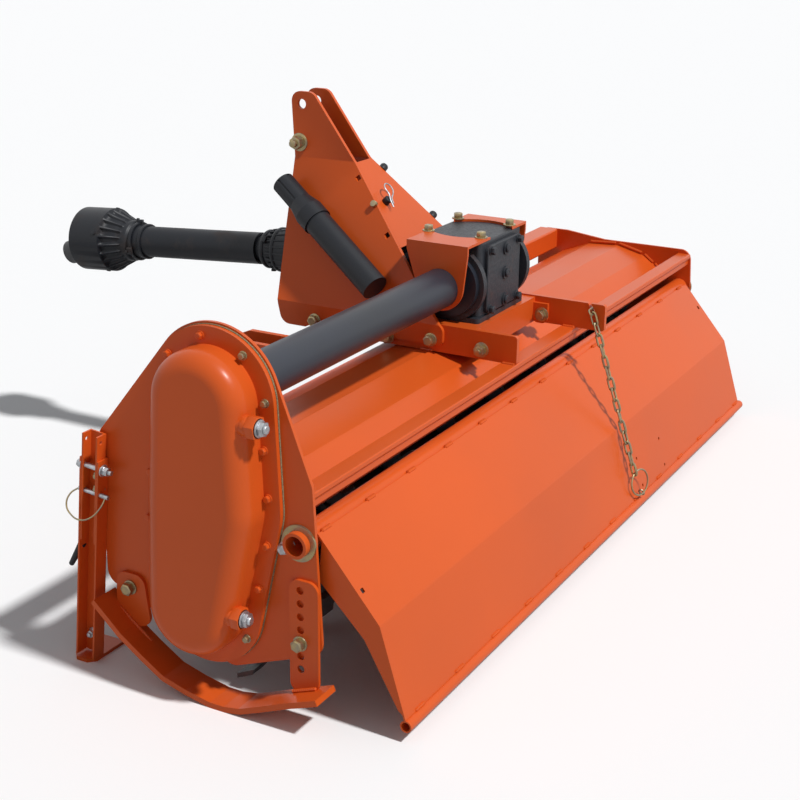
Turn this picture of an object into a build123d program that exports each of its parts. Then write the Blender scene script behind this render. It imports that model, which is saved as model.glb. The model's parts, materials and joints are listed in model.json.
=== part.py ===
from build123d import *
from math import cos, hypot, radians, sin, sqrt, tan
import os

# A three-point rotary tiller. X runs along the rotor, Y forward to the tractor and Z up from the ground,
# in mm. Sizes along Y are measured from the rear edge of the end plates, and write() moves the pieces to
# the part's origin.

# Driving dimensions
PLATE_SPAN = 1740          # over the outer faces of the end plates
SIDE = PLATE_SPAN / 2
PLATE = 6                  # end plate
INNER = SIDE - PLATE
FIT = 0.3                  # running gap between a turning piece and its seat
SLIDE = 0.5                # gap beside a sliding piece

# End plates
PLATE_TOP_Z = 398          # rear corner
PLATE_FRONT_Y = 403
PLATE_HEEL_Z = 123         # rear lower corner
PLATE_LEAN = 16            # how far the rear lower corner lies behind the upper one
PLATE_LOW = (152, 58)      # lowest corner
PLATE_TOE = (400, 153)
PLATE_SHOULDER = (224, 325)  # where the top of the right plate rises to the front tube
CORNER_R = 26

# Chain case: upper, middle and lower circles of its outline
CROWN = (170, 513)
CROWN_R = 112
WAIST = (172, 350)
WAIST_R = 122
ROTOR = (196, 168)         # rotor axis, and the lower end of the chain case
LOWER_R = 106
PLATE_MARGIN = 4           # end plate round the chain case
GASKET = 3
GASKET_SHOW = 1            # gasket past the flange
FLANGE = 8
FLANGE_WIDTH = 28
PAN_DEPTH = 58
PAN_R = 30
PLUG_BOSS_R = 15           # filler and drain bosses, which face the rear
PLUG_BOSSES = ((62, 495), (98, 176))
PLUG_BOSS_LENGTH = 60
PLUG_BOSS_OUT = 34         # from the flange to a boss's axis

# Deck
TUBE = 50                  # square front tube
TUBE_R = 5
TUBE_BOTTOM_Z = 360
TUBE_FRONT_Y = PLATE_FRONT_Y - 1
TUBE_REAR_Y = TUBE_FRONT_Y - TUBE
TUBE_TOP_Z = TUBE_BOTTOM_Z + TUBE
HOOD_SHEET = 5
HOOD_BEND = 8
HOOD_TOP_Z = 388
LIP_SHEET = 4
LIP_DROP = 26
BAR = 10                   # flat bars over the hood, on edge
BAR_HEIGHT = 55
BAR_TOP_Z = HOOD_TOP_Z + BAR_HEIGHT
BAR_X = 150                # outer face
BAR_OVERHANG = 62          # right bar behind the end plates
BAR_CORNER = 6

# Gearbox
GEARBOX_Z = (440, 596)
GEARBOX_Y = (108, 245)
GEARBOX_X = 92
GEARBOX_R = 9              # rounding of the casting's upright edges
BASE = 10                  # foot flange
BASE_MARGIN = (12, 5)
SHAFT_Z = 514              # input shaft and cross shaft
NOSE_R = (66, 42)          # stepped boss round the input shaft
NOSE_LENGTH = (16, 26)
FLANGE_R = 73              # round flanges that carry the cross shaft
FLANGE_OUT = 14
COVER = (146, 134, 8)      # rear cover: width, height and thickness
COVER_R = 13
COVER_BOSSES = (-54, 0, 49)  # round bosses up the cover's middle
COVER_BOSS = (6, 13, 3)    # place along X, radius and height
CASE_BOSS = (46, 12)       # bolt bosses round the nose: place out from the shaft each way, and radius
CASE_RIB = (30, 8)         # ribs under a round flange: place beside the cross shaft, and width
MOUNT = 8                  # plate of the channel under the gearbox
MOUNT_Y = (92, 255)
MOUNT_EAR = (32, 42)       # ear that runs back along a bar
CROSS_TUBE_R = 38
CROSS_Y = 165
CROSS_FLANGE = (62, 10, 12)  # radius, and thickness at the chain case and at the gearbox
SHIELD = 5                 # sheet over the cross shaft's flanges
SHIELD_Y = (108, 238)
SHIELD_LEFT_X = 148
SHIELD_RIGHT_X = 116
SHIELD_OPENING_R = 82      # round opening over the gearbox
SHIELD_SEAM_X = 45
GUARD_R = 62               # black guard round the input shaft
GUARD_NECK_R = 50
GUARD_WALL = 4
GUARD_Y = (261, 304, 392)  # gearbox end, step and open end

# Mast
MAST = 8                   # mast plate
MAST_TOP_Z = 843
MAST_PIN = (545, MAST_TOP_Z - 25)
MAST_PIN_D = 20
MAST_GAP = 50              # between the mast plates at the top pin
MAST_FOLD_Z = 711          # top of the sloping part; its foot is the top of the bars
MAST_FOOT_Z = TUBE_TOP_Z - 15
MAST_HOLES = ((405, 684), (313, 587))  # square holes beside the panel
MAST_HOLE = 10
PANEL = 4                  # sheet across the mast
PANEL_ENDS = ((281, 567), (420, 711))

# Lower hitch
HITCH_X = 342              # centre of a clevis
HITCH_GAP = 54
HITCH_PLATE = 12
HITCH_PIN = (545, 361)
HITCH_PIN_D = 22
PIN_HEAD = 8               # pin past the inner plate
PIN_REACH = 45             # free end of a pin outside its clevis

# Right side
HUB_R = (85, 58)
HUB_FLANGE = 12

# Tailgate
HINGE = (23, 304)
HINGE_R = 21
HINGE_WALL = 5
HINGE_REACH = 16           # tube outside the end plates
GATE = 3                   # sheet
GATE_SLOPE = 49.7          # upper panel, degrees from level
GATE_UPPER = 171           # from the hinge tube to the bend
GATE_FOOT = (-153, 29)     # tube along the lower edge
GATE_FOOT_R = 10
GATE_FOOT_WALL = 2.5
GATE_X = INNER - 12        # half length of the sheet
WING = 46                  # depth of the end wings
GATE_HOLE = 8              # square holes: place along the gate and down the upper panel
GATE_HOLES = ((-GATE_X + 14, 113), (GATE_X - 18, 69))
GATE_SLOTS = (160, 4, 26, 6, 22)  # first slot's X, how many, their pitch, width and length
RETAINER = 4
RETAINER_EAR = (24, -12)
RETAINER_EAR_R = 9

# Skid shoes
SKID = 10                  # shoe bar
SKID_WIDTH = 55
SKID_X = SIDE - 9          # inner edge
SKID_LUG = 6
STRAP_Y = (-12, 40)        # drilled strap at the rear
STRAP_TOP_Z = 244
STRAP_HOLE_R = 6.5
STRAP_HOLES = (20, 92, 22.5, 7)  # Y, lowest Z, pitch and how many
LUG_TOP_Z = 176

# Parking stand
STAND_RAKE = 5.6           # degrees, foot forward
STAND_TOP = (384, 370)     # rear upper corner of the leg
POST_WIDTH = 31
POST_DEPTH = 22
POST_RISE = 42             # post above the leg
POST_LENGTH = 190
POST_HOLE_R = 3.5          # through both flanges near the top
CHANNEL = 3                # wall of both stand channels
LEG_WIDTH = POST_WIDTH + 2 * (SLIDE + CHANNEL)
LEG_DEPTH = 26
PAD_LENGTH = 26            # pad that holds the post off the end plate
FOOT = (84, 46, 6)

# Rotor
ROTOR_TUBE_R = 44
BEARING = 22
BEARING_R = 62
JOURNAL_R = 25
DISCS = 8
DISC = 10
DISC_R = 92
DISC_INSET = 78            # first disc from an end plate
TINES = 6                  # on each disc
TINE = 8
TINE_TIP_R = 148           # outer face of a blade
TINE_BEND = 26
BLADE = 58                 # sideways reach of a blade
TINE_TURN = 5              # degrees, first tine of the left disc

# Manual holder, a closed tube beside the left mast plate
HOLDER_FOOT = (297, 500)
HOLDER_HEAD = (556, 666)
HOLDER_R = 27.5
CAP_R = HOLDER_R + 3
CAP_LENGTH = 122
CAP_SKIRT = 30
CAP_NOSE_R = 23.5
CAP_FLUTES = 6
FLUTE_R = 3

# Driveline, with stations along its axis from the rear universal joint
PIVOT_Y = 450
DROOP = 4.3                # degrees that it hangs below level
PTO_BORE_R = 17.45
EAR_R = 17                 # universal joints
EAR_SPAN = (21, 30)        # inner and outer face of an ear from the axis
CROSS_PIN_R = 9.5
CROSS_BODY = 26
FORK_HUB = (46, 60)
FORK_FOOT = (8, 2 * EAR_R + 6)  # foot of an ear on its hub: along the shaft and across
REST_R = 6                 # rod between the mast plates that the driveline rests on
REST_AT = 40
BELL_R = 67
BELL_WALL = 4
BELL_END = 208
INNER_TUBE_R = 27
INNER_TUBE_END = 470
OUTER_TUBE_R = 34
TUBE_START = 221
TUBE_END = 523
CONE_START = TUBE_END + 60
CONE_RIBS = 20
MOUTH = 742                # open end of the front guard
MOUTH_R = 71
MOUTH_WALL = 5
FRONT_JOINT = 652
NOSE_DROOP = 19            # degrees that the tractor yoke hangs below the driveline
YOKE_R = 27
YOKE_NECK_R = 18
BALL_R = 17                # ball in the front joint, which the tractor yoke's cup bears on
CUP_AT = 11.5
YOKE_LENGTH = 110
YOKE_BORE = 62
COLLAR_R = 31

# Lift chain
WIRE_R = 2.4
LINK_INNER = 23.4
LINK_WIDTH = 15.5
LINKS = 15
BENDS = 6                  # flats round each end of a link
CHAIN_X = 131
CHAIN_PIVOT = (-40, 423.7)
CHAIN_LEAN = 18.8          # degrees from plumb, foot to the rear
SLOT_LEAN = 32             # slot in the right bar, degrees from plumb
ANCHOR_SPARE = 13          # anchor link past the bar
RING_R = 27                # wire ring that pins the chain to the tailgate
RING_WIRE_R = 2
RING_FLATS = 24
RING_TILT = 22

# Ends of the whole machine
FRONT_TIP_Y = (
    PIVOT_Y + FRONT_JOINT * cos(radians(DROOP)) + YOKE_LENGTH * cos(radians(DROOP + NOSE_DROOP))
    + YOKE_R * sin(radians(DROOP + NOSE_DROOP))
)
REAR_TIP_Y = GATE_FOOT[0] - GATE_FOOT_R
TO_ORIGIN = Location((0, -(FRONT_TIP_Y + REAR_TIP_Y) / 2, 0))


def write(builder, name):
    """Write one piece as STEP, moved so that the part's origin lies on the ground below its middle."""
    piece = builder.part.moved(TO_ORIGIN)
    piece.label = name
    export_step(piece, f"parts/{name}.step")


def section_at(x):
    """Plane across the machine at x, drawn in Y and Z and facing +X."""
    return Plane.YZ.offset(x)


def front_at(y):
    """Plane along the machine at y, drawn in X and Z and facing -Y."""
    return Plane.XZ.offset(-y)


def outline(plane, points, radius=0, picked=None):
    """A closed outline of straight edges, rounded at all corners or at those that picked chooses."""
    with BuildSketch(plane) as shape:
        with BuildLine():
            Polyline(*points, close=True)
        make_face()
        if radius:
            corners = shape.vertices() if picked is None else shape.vertices().filter_by(picked)
            fillet(corners, radius)
    return shape.sketch


def sheet(plane, points, bend, thickness):
    """Section of a bent sheet that lies to the left of the line of points."""
    with BuildSketch(plane) as shape:
        with BuildLine():
            FilletPolyline(*points, radius=bend)
            offset(amount=thickness, side=Side.LEFT)
        make_face()
    return shape.sketch


def circles_hull(plane, circles, inset=0):
    """Tangent outline round circles given as ((y, z), radius)."""
    with BuildSketch(plane) as shape:
        for centre, radius in circles:
            with Locations(centre):
                Circle(radius - inset)
        make_hull()
    return shape.sketch


os.makedirs("parts", exist_ok=True)

# ---------------------------------------------------------------- end plates
heel = (-PLATE_LEAN, PLATE_HEEL_Z)
case_circles = ((CROWN, CROWN_R), (WAIST, WAIST_R), (ROTOR, LOWER_R))

with BuildPart() as left_end_plate:
    with BuildSketch(section_at(-SIDE)) as plate_face:
        with BuildLine():
            Polyline((0, PLATE_TOP_Z), heel, PLATE_LOW, PLATE_TOE, (PLATE_FRONT_Y, TUBE_TOP_Z), close=True)
        make_face()
        with Locations(CROWN):
            Circle(CROWN_R + PLATE_MARGIN)
        make_hull()
        fillet(plate_face.vertices().group_by(Axis.Z)[0], CORNER_R)
    extrude(amount=PLATE)
    with BuildSketch(section_at(-SIDE)):
        with Locations(HINGE):
            Circle(HINGE_R + FIT)
    extrude(amount=PLATE, mode=Mode.SUBTRACT)
write(left_end_plate, "left_end_plate")

with BuildPart() as right_end_plate:
    with BuildSketch(section_at(INNER)) as plate_face:
        with BuildLine():
            Polyline(
                (0, PLATE_TOP_Z), heel, PLATE_LOW, PLATE_TOE, (PLATE_FRONT_Y, TUBE_TOP_Z),
                (PLATE_SHOULDER[1], TUBE_TOP_Z), (PLATE_SHOULDER[0], PLATE_TOP_Z), close=True,
            )
        make_face()
        fillet(plate_face.vertices().group_by(Axis.Z)[0], CORNER_R)
        with Locations(HINGE):
            Circle(HINGE_R + FIT, mode=Mode.SUBTRACT)
    extrude(amount=PLATE)
write(right_end_plate, "right_end_plate")

# ---------------------------------------------------------------- deck: front tube, hood, rear lip, bars
with BuildPart() as front_tube:
    with BuildSketch(section_at(-INNER)):
        with Locations((TUBE_REAR_Y + TUBE / 2, TUBE_BOTTOM_Z + TUBE / 2)):
            RectangleRounded(TUBE, TUBE, TUBE_R)
    extrude(amount=2 * INNER)
write(front_tube, "front_tube")

# Section of the hood from its rear edge over the rotor to its front edge.
hood_line = (
    (52, 322), (88, 350), (116, 370), (186, HOOD_TOP_Z), (262, HOOD_TOP_Z - 4),
    (338, 354), (370, 300), (367, 262),
)
with BuildPart() as hood:
    extrude(sheet(section_at(-INNER), hood_line[::-1], HOOD_BEND, HOOD_SHEET), amount=2 * INNER)
write(hood, "hood")

with BuildPart() as rear_lip:
    lip_foot = HOOD_TOP_Z - LIP_DROP
    lip_line = (
        (30, HOOD_TOP_Z), (-1, HOOD_TOP_Z), (-1, HOOD_TOP_Z - 8), (4, HOOD_TOP_Z - 14),
        (4, lip_foot), (20, lip_foot),
    )
    extrude(sheet(section_at(-INNER), lip_line, 2, LIP_SHEET), amount=2 * INNER)
write(rear_lip, "rear_lip")

for name, x, rear_y in (("bar_left", -BAR_X, -1), ("bar_right", BAR_X - BAR, -BAR_OVERHANG)):
    with BuildPart() as bar:
        with BuildSketch(section_at(x)) as bar_face:
            with Locations(((TUBE_REAR_Y + rear_y) / 2, HOOD_TOP_Z + BAR_HEIGHT / 2)):
                Rectangle(TUBE_REAR_Y - rear_y, BAR_HEIGHT)
            fillet(bar_face.vertices().group_by(Axis.X)[0], BAR_CORNER)
            if rear_y < -1:
                lean = radians(SLOT_LEAN)
                reach = BAR_HEIGHT / 2
                with Locations((CHAIN_PIVOT[0] + reach * sin(lean), CHAIN_PIVOT[1] + reach * cos(lean))):
                    SlotCenterToCenter(
                        2 * reach, 2 * (WIRE_R + FIT), rotation=90 - SLOT_LEAN, mode=Mode.SUBTRACT
                    )
        extrude(amount=BAR)
    write(bar, name)

# ---------------------------------------------------------------- gearbox on its channel between the bars
mount_half = BAR_X - BAR
mount_height = GEARBOX_Z[0] - HOOD_TOP_Z
with BuildPart() as gearbox_mount:
    with BuildSketch(front_at(MOUNT_Y[1])):
        with Locations((0, HOOD_TOP_Z + mount_height / 2)):
            Rectangle(2 * mount_half, mount_height)
        with Locations((0, HOOD_TOP_Z + (mount_height - MOUNT) / 2)):
            Rectangle(2 * (mount_half - MOUNT), mount_height - MOUNT, mode=Mode.SUBTRACT)
    extrude(amount=MOUNT_Y[1] - MOUNT_Y[0])
    with Locations((0, MOUNT_Y[0] + MOUNT / 2, HOOD_TOP_Z + mount_height / 2)):
        Box(2 * mount_half, MOUNT, mount_height)
    for side in (-1, 1):
        with BuildSketch(section_at(side * mount_half)) as ear_face:
            with Locations((MOUNT_Y[0] - MOUNT_EAR[0] / 2, HOOD_TOP_Z + MOUNT_EAR[1] / 2)):
                Rectangle(*MOUNT_EAR)
            fillet(ear_face.vertices().group_by(Axis.Y)[0], 12)
        extrude(amount=-side * MOUNT)
write(gearbox_mount, "gearbox_mount")

box_mid_y = (GEARBOX_Y[0] + GEARBOX_Y[1]) / 2
box_depth = GEARBOX_Y[1] - GEARBOX_Y[0]
box_face_x = GEARBOX_X + FLANGE_OUT
with BuildPart() as gearbox_housing:
    with BuildSketch(Plane.XY.offset(GEARBOX_Z[0])):
        with Locations((0, box_mid_y)):
            RectangleRounded(2 * (GEARBOX_X + BASE_MARGIN[0]), box_depth + 2 * BASE_MARGIN[1], GEARBOX_R)
    extrude(amount=BASE)
    with BuildSketch(Plane.XY.offset(GEARBOX_Z[0] + BASE)):
        with Locations((0, box_mid_y)):
            RectangleRounded(2 * GEARBOX_X, box_depth, GEARBOX_R)
    extrude(amount=GEARBOX_Z[1] - GEARBOX_Z[0] - BASE)
    fillet(gearbox_housing.faces().sort_by(Axis.Z)[-1].edges(), 4)
    for radius, length in zip(NOSE_R, NOSE_LENGTH):
        with BuildSketch(front_at(GEARBOX_Y[1])):
            with Locations((0, SHAFT_Z)):
                Circle(radius)
        extrude(amount=-length)
    with BuildSketch(front_at(GEARBOX_Y[1])):
        for corner_x in (-1, 1):
            for top in (-1, 1):
                with Locations((corner_x * CASE_BOSS[0], SHAFT_Z + top * CASE_BOSS[0])):
                    Circle(CASE_BOSS[1])
    extrude(amount=-NOSE_LENGTH[0] + 4)
    for side in (-1, 1):
        with BuildSketch(section_at(side * GEARBOX_X)):
            with Locations((CROSS_Y, SHAFT_Z)):
                Circle(FLANGE_R)
        extrude(amount=side * FLANGE_OUT)
        with BuildSketch(section_at(side * GEARBOX_X)):
            for rib_y in (CROSS_Y - CASE_RIB[0], CROSS_Y + CASE_RIB[0]):
                with Locations((rib_y, (GEARBOX_Z[0] + BASE + SHAFT_Z) / 2)):
                    Rectangle(CASE_RIB[1], SHAFT_Z - GEARBOX_Z[0] - BASE)
        extrude(amount=side * (FLANGE_OUT - 4))
write(gearbox_housing, "gearbox_housing")

with BuildPart() as gearbox_cover:
    cover_z = GEARBOX_Z[0] + BASE + 3 + COVER[1] / 2
    with BuildSketch(front_at(GEARBOX_Y[0])):
        with Locations((0, cover_z)):
            RectangleRounded(COVER[0], COVER[1], COVER_R)
    extrude(amount=COVER[2])
    chamfer(gearbox_cover.faces().sort_by(Axis.Y)[0].edges(), 1.5)
    with BuildSketch(front_at(GEARBOX_Y[0] - COVER[2])):
        for boss_z in COVER_BOSSES:
            with Locations((COVER_BOSS[0], cover_z + boss_z)):
                Circle(COVER_BOSS[1])
    extrude(amount=COVER_BOSS[2])
write(gearbox_cover, "gearbox_cover")

shield_mid_y = (SHIELD_Y[0] + SHIELD_Y[1]) / 2
shield_top = GEARBOX_Z[1]
shield_r = CROSS_TUBE_R + 11
for name, side, outer_x in (("shield_left", -1, SHIELD_LEFT_X), ("shield_right", 1, SHIELD_RIGHT_X)):
    with BuildPart() as shield:
        with BuildSketch(Plane.XY.offset(shield_top)):
            with Locations((side * (outer_x + SHIELD_SEAM_X) / 2, shield_mid_y)):
                Rectangle(outer_x - SHIELD_SEAM_X, SHIELD_Y[1] - SHIELD_Y[0])
            with Locations((0, shield_mid_y)):
                Circle(SHIELD_OPENING_R, mode=Mode.SUBTRACT)
        extrude(amount=SHIELD)
        with BuildSketch(section_at(side * outer_x)):
            with Locations((shield_mid_y, shield_top - 6)):
                Rectangle(SHIELD_Y[1] - SHIELD_Y[0], 12)
            with Locations((CROSS_Y, SHAFT_Z + 5)):
                Circle(shield_r)
            make_hull()
            if side < 0:
                with Locations((CROSS_Y, SHAFT_Z)):
                    Circle(CROSS_TUBE_R + FIT, mode=Mode.SUBTRACT)
        extrude(amount=-side * SHIELD)
    write(shield, name)

with BuildPart() as cross_tube:
    with BuildSketch(section_at(-INNER)):
        with Locations((CROSS_Y, SHAFT_Z)):
            Circle(CROSS_TUBE_R)
    extrude(amount=INNER - box_face_x)
    for x, thickness in ((-INNER, CROSS_FLANGE[1]), (-box_face_x - CROSS_FLANGE[2], CROSS_FLANGE[2])):
        with BuildSketch(section_at(x)):
            with Locations((CROSS_Y, SHAFT_Z)):
                Circle(CROSS_FLANGE[0])
        extrude(amount=thickness)
write(cross_tube, "cross_tube")

with BuildPart() as input_guard:
    neck, step, mouth = GUARD_Y
    guard_profile = (
        (neck, GUARD_NECK_R - 7), (neck, GUARD_NECK_R), (step - 6, GUARD_NECK_R), (step, GUARD_R),
        (mouth, GUARD_R), (mouth, GUARD_R - GUARD_WALL), (step + 2, GUARD_R - GUARD_WALL),
        (step - 4, GUARD_NECK_R - GUARD_WALL), (neck + GUARD_WALL, GUARD_NECK_R - GUARD_WALL),
        (neck + GUARD_WALL, GUARD_NECK_R - 7),
    )
    level = Plane(origin=(0, 0, SHAFT_Z), x_dir=(0, 1, 0), z_dir=(1, 0, 0))
    revolve(outline(level, guard_profile), axis=Axis(level.origin, level.x_dir))
write(input_guard, "input_guard")

# Input shaft with the gearbox's half of the rear universal joint, whose ears stand at the left and right
with BuildPart() as input_shaft:
    with BuildSketch(front_at(GEARBOX_Y[1] + NOSE_LENGTH[1])):
        with Locations((0, SHAFT_Z)):
            Circle(PTO_BORE_R)
    extrude(amount=-(PIVOT_Y - FORK_HUB[1] - GEARBOX_Y[1] - NOSE_LENGTH[1]))
    with BuildSketch(front_at(PIVOT_Y - FORK_HUB[1])):
        with Locations((0, SHAFT_Z)):
            Circle(EAR_SPAN[1])
    extrude(amount=-(FORK_HUB[1] - FORK_HUB[0]))
    for side in (-1, 1):
        with BuildSketch(section_at(side * EAR_SPAN[0])):
            with Locations((PIVOT_Y, SHAFT_Z)):
                Circle(EAR_R)
            with Locations((PIVOT_Y - FORK_HUB[0] - 4, SHAFT_Z)):
                Rectangle(8, 2 * EAR_R + 6)
            make_hull()
            with Locations((PIVOT_Y, SHAFT_Z)):
                Circle(CROSS_PIN_R + FIT, mode=Mode.SUBTRACT)
        extrude(amount=side * (EAR_SPAN[1] - EAR_SPAN[0]))
write(input_shaft, "input_shaft")

# ---------------------------------------------------------------- mast
mast_inner = MAST_GAP / 2
mast_heel_y = 152
mast_low_z = TUBE_TOP_Z - 7
mast_side = (
    (MAST_PIN[0] - 26, MAST_TOP_Z), (MAST_PIN[0] + 25, MAST_TOP_Z), (562, MAST_FOLD_Z - 2), (544, 561),
    (527, 433), (518, MAST_FOOT_Z), (TUBE_FRONT_Y + 60, MAST_FOOT_Z), (TUBE_FRONT_Y + 30, TUBE_TOP_Z),
    (TUBE_REAR_Y, TUBE_TOP_Z), (TUBE_REAR_Y, mast_low_z), (mast_heel_y, mast_low_z), (mast_heel_y, 435),
    (176, 458),
    PANEL_ENDS[0], (PANEL_ENDS[1][0] + 3, PANEL_ENDS[1][1] + 3),
)


def mast_fold(side, offset_x):
    """Line that a mast plate follows from its top down to the bars."""
    return (
        (side * (mast_inner + offset_x), MAST_TOP_Z + 10),
        (side * (mast_inner + offset_x), MAST_FOLD_Z),
        (side * (BAR_X + offset_x), BAR_TOP_Z),
        (side * (BAR_X + offset_x), MAST_FOOT_Z - 10),
    )


mast_half = BAR_X + 2 * MAST               # more than the half width of the mast
mast_reach = MAST_PIN[0] + 60              # more than its reach forward
for name, side in (("mast_left", -1), ("mast_right", 1)):
    with BuildPart() as mast_plate:
        folded = mast_fold(side, 0) + mast_fold(side, MAST)[::-1]
        extrude(outline(front_at(mast_reach), folded), amount=mast_reach)
        with BuildSketch(section_at(-mast_half)) as mast_face:
            with BuildLine():
                Polyline(*mast_side, close=True)
            make_face()
            fillet(mast_face.vertices().filter_by(lambda v: v.Z > MAST_TOP_Z - 1), 20)
            fillet(mast_face.vertices().filter_by(lambda v: v.Y < mast_heel_y + 1 and v.Z < 440), 14)
            with Locations(MAST_PIN):
                Circle(MAST_PIN_D / 2, mode=Mode.SUBTRACT)
            with Locations(*MAST_HOLES):
                Rectangle(MAST_HOLE, MAST_HOLE, rotation=46, mode=Mode.SUBTRACT)
        extrude(amount=2 * mast_half, mode=Mode.INTERSECT)
    write(mast_plate, name)

with BuildPart() as mast_panel:
    with BuildSketch(section_at(-mast_half)):
        with BuildLine():
            Polyline(*PANEL_ENDS)
            offset(amount=PANEL, side=Side.RIGHT)
        make_face()
    extrude(amount=2 * mast_half)
    between = mast_fold(-1, 0) + mast_fold(1, 0)[::-1]
    extrude(outline(front_at(mast_reach), between), amount=mast_reach, mode=Mode.INTERSECT)
write(mast_panel, "mast_panel")

# ---------------------------------------------------------------- lower hitch
lug_side = (
    (TUBE_FRONT_Y, TUBE_TOP_Z + 13), (HITCH_PIN[0] - 55, TUBE_TOP_Z + 13),
    (HITCH_PIN[0] + 32, HITCH_PIN[1] + 24), (HITCH_PIN[0] + 32, HITCH_PIN[1] - 24),
    (HITCH_PIN[0] + 8, HITCH_PIN[1] - 34), (TUBE_FRONT_Y, TUBE_BOTTOM_Z),
)
for name, centre_x in (("hitch_left", -HITCH_X), ("hitch_right", HITCH_X)):
    with BuildPart() as hitch:
        for plate_x in (centre_x - HITCH_GAP / 2 - HITCH_PLATE, centre_x + HITCH_GAP / 2):
            with BuildSketch(section_at(plate_x)) as lug_face:
                with BuildLine():
                    Polyline(*lug_side, close=True)
                make_face()
                fillet(lug_face.vertices().filter_by(lambda v: v.Y > TUBE_FRONT_Y + 50), 14)
            extrude(amount=HITCH_PLATE)
        side = 1 if centre_x > 0 else -1
        with BuildSketch(section_at(centre_x - side * (HITCH_GAP / 2 + HITCH_PLATE + PIN_HEAD))):
            with Locations(HITCH_PIN):
                Circle(HITCH_PIN_D / 2)
        extrude(amount=side * (HITCH_GAP + 2 * HITCH_PLATE + PIN_HEAD + PIN_REACH))
    write(hitch, name)

# ---------------------------------------------------------------- chain case on the left plate
with BuildPart() as case_gasket:
    extrude(circles_hull(section_at(-SIDE), case_circles, -GASKET_SHOW), amount=-GASKET)
write(case_gasket, "case_gasket")

case_x = -SIDE - GASKET
with BuildPart() as chain_case:
    extrude(circles_hull(section_at(case_x), case_circles), amount=-FLANGE)
    extrude(circles_hull(section_at(case_x - FLANGE), case_circles, FLANGE_WIDTH), amount=-PAN_DEPTH)
    fillet(chain_case.faces().sort_by(Axis.X)[0].edges(), PAN_R)
    for boss_y, boss_z in PLUG_BOSSES:
        with BuildSketch(front_at(boss_y + PLUG_BOSS_LENGTH)):
            with Locations((case_x - FLANGE - PLUG_BOSS_OUT, boss_z)):
                Circle(PLUG_BOSS_R)
        extrude(amount=PLUG_BOSS_LENGTH)
write(chain_case, "chain_case")

with BuildPart() as right_hub:
    with BuildSketch(section_at(SIDE)):
        with Locations(ROTOR):
            Circle(HUB_R[0])
    extrude(amount=HUB_FLANGE)
    with BuildSketch(section_at(SIDE + HUB_FLANGE)):
        with Locations(ROTOR):
            Circle(HUB_R[1])
    extrude(amount=GASKET + FLANGE + PAN_DEPTH - HUB_FLANGE, taper=6)
    fillet(right_hub.faces().sort_by(Axis.X)[-1].edges(), 8)
write(right_hub, "right_hub")

with BuildPart() as rotor_bearings:
    for x in (-INNER, INNER - BEARING):
        with BuildSketch(section_at(x)):
            with Locations(ROTOR):
                Circle(BEARING_R)
                Circle(JOURNAL_R + FIT, mode=Mode.SUBTRACT)
        extrude(amount=BEARING)
write(rotor_bearings, "rotor_bearings")

# ---------------------------------------------------------------- skid shoes
# Underside of a shoe, from its rear tip to its front tip.
skid_line = (
    (-34, 62), (17, 43), (72, 20), (110, 5), (140, 0), (168, 0),
    (215, 9), (262, 22), (304, 48), (348, 78), (401, 126),
)
strap_y, strap_z, strap_pitch, strap_count = STRAP_HOLES
for name, side in (("skid_left", -1), ("skid_right", 1)):
    skid_x = SKID_X if side > 0 else -SKID_X - SKID_WIDTH
    lug_x = SIDE if side > 0 else -SIDE - SKID_LUG
    with BuildPart() as skid:
        extrude(sheet(section_at(skid_x), skid_line, 20, SKID), amount=SKID_WIDTH)
        with BuildSketch(section_at(lug_x)) as strap_face:
            with BuildLine():
                Polyline(
                    (STRAP_Y[0], 60), (STRAP_Y[0], STRAP_TOP_Z), (STRAP_Y[1], STRAP_TOP_Z),
                    (STRAP_Y[1], 42), close=True,
                )
            make_face()
            fillet(strap_face.vertices().group_by(Axis.Z)[-1], 18)
            with Locations(*((strap_y, strap_z + strap_pitch * step) for step in range(strap_count))):
                Circle(STRAP_HOLE_R, mode=Mode.SUBTRACT)
        extrude(amount=SKID_LUG)
        with BuildSketch(section_at(lug_x)) as lug_face:
            with BuildLine():
                Polyline((306, 58), (322, LUG_TOP_Z), (376, LUG_TOP_Z), (380, 116), close=True)
            make_face()
            fillet(lug_face.vertices().group_by(Axis.Z)[-1], 20)
        extrude(amount=SKID_LUG)
    write(skid, name)

# ---------------------------------------------------------------- parking stand
rake = radians(STAND_RAKE)
leg_length = STAND_TOP[1] / cos(rake)
stand_x = -SIDE - SLIDE
# Plane square to the leg at its upper end. Its X runs outward and its Y forward.
leg_top = Plane(
    origin=(stand_x, STAND_TOP[0], STAND_TOP[1]), x_dir=(-1, 0, 0), z_dir=(0, -sin(rake), cos(rake)),
)
post_x = CHANNEL + SLIDE


def channel(plane, start, width, depth):
    """A channel section with its web at start, its rear flange at mid width minus half and open outward."""
    with BuildSketch(plane) as shape:
        with BuildLine():
            near = -LEG_WIDTH / 2 - width / 2
            far = near + width
            web = start + CHANNEL
            Polyline(
                (start, near), (start + depth, near), (start + depth, near + CHANNEL), (web, near + CHANNEL),
                (web, far - CHANNEL), (start + depth, far - CHANNEL), (start + depth, far), (start, far),
                close=True,
            )
        make_face()
    return shape.sketch


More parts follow.
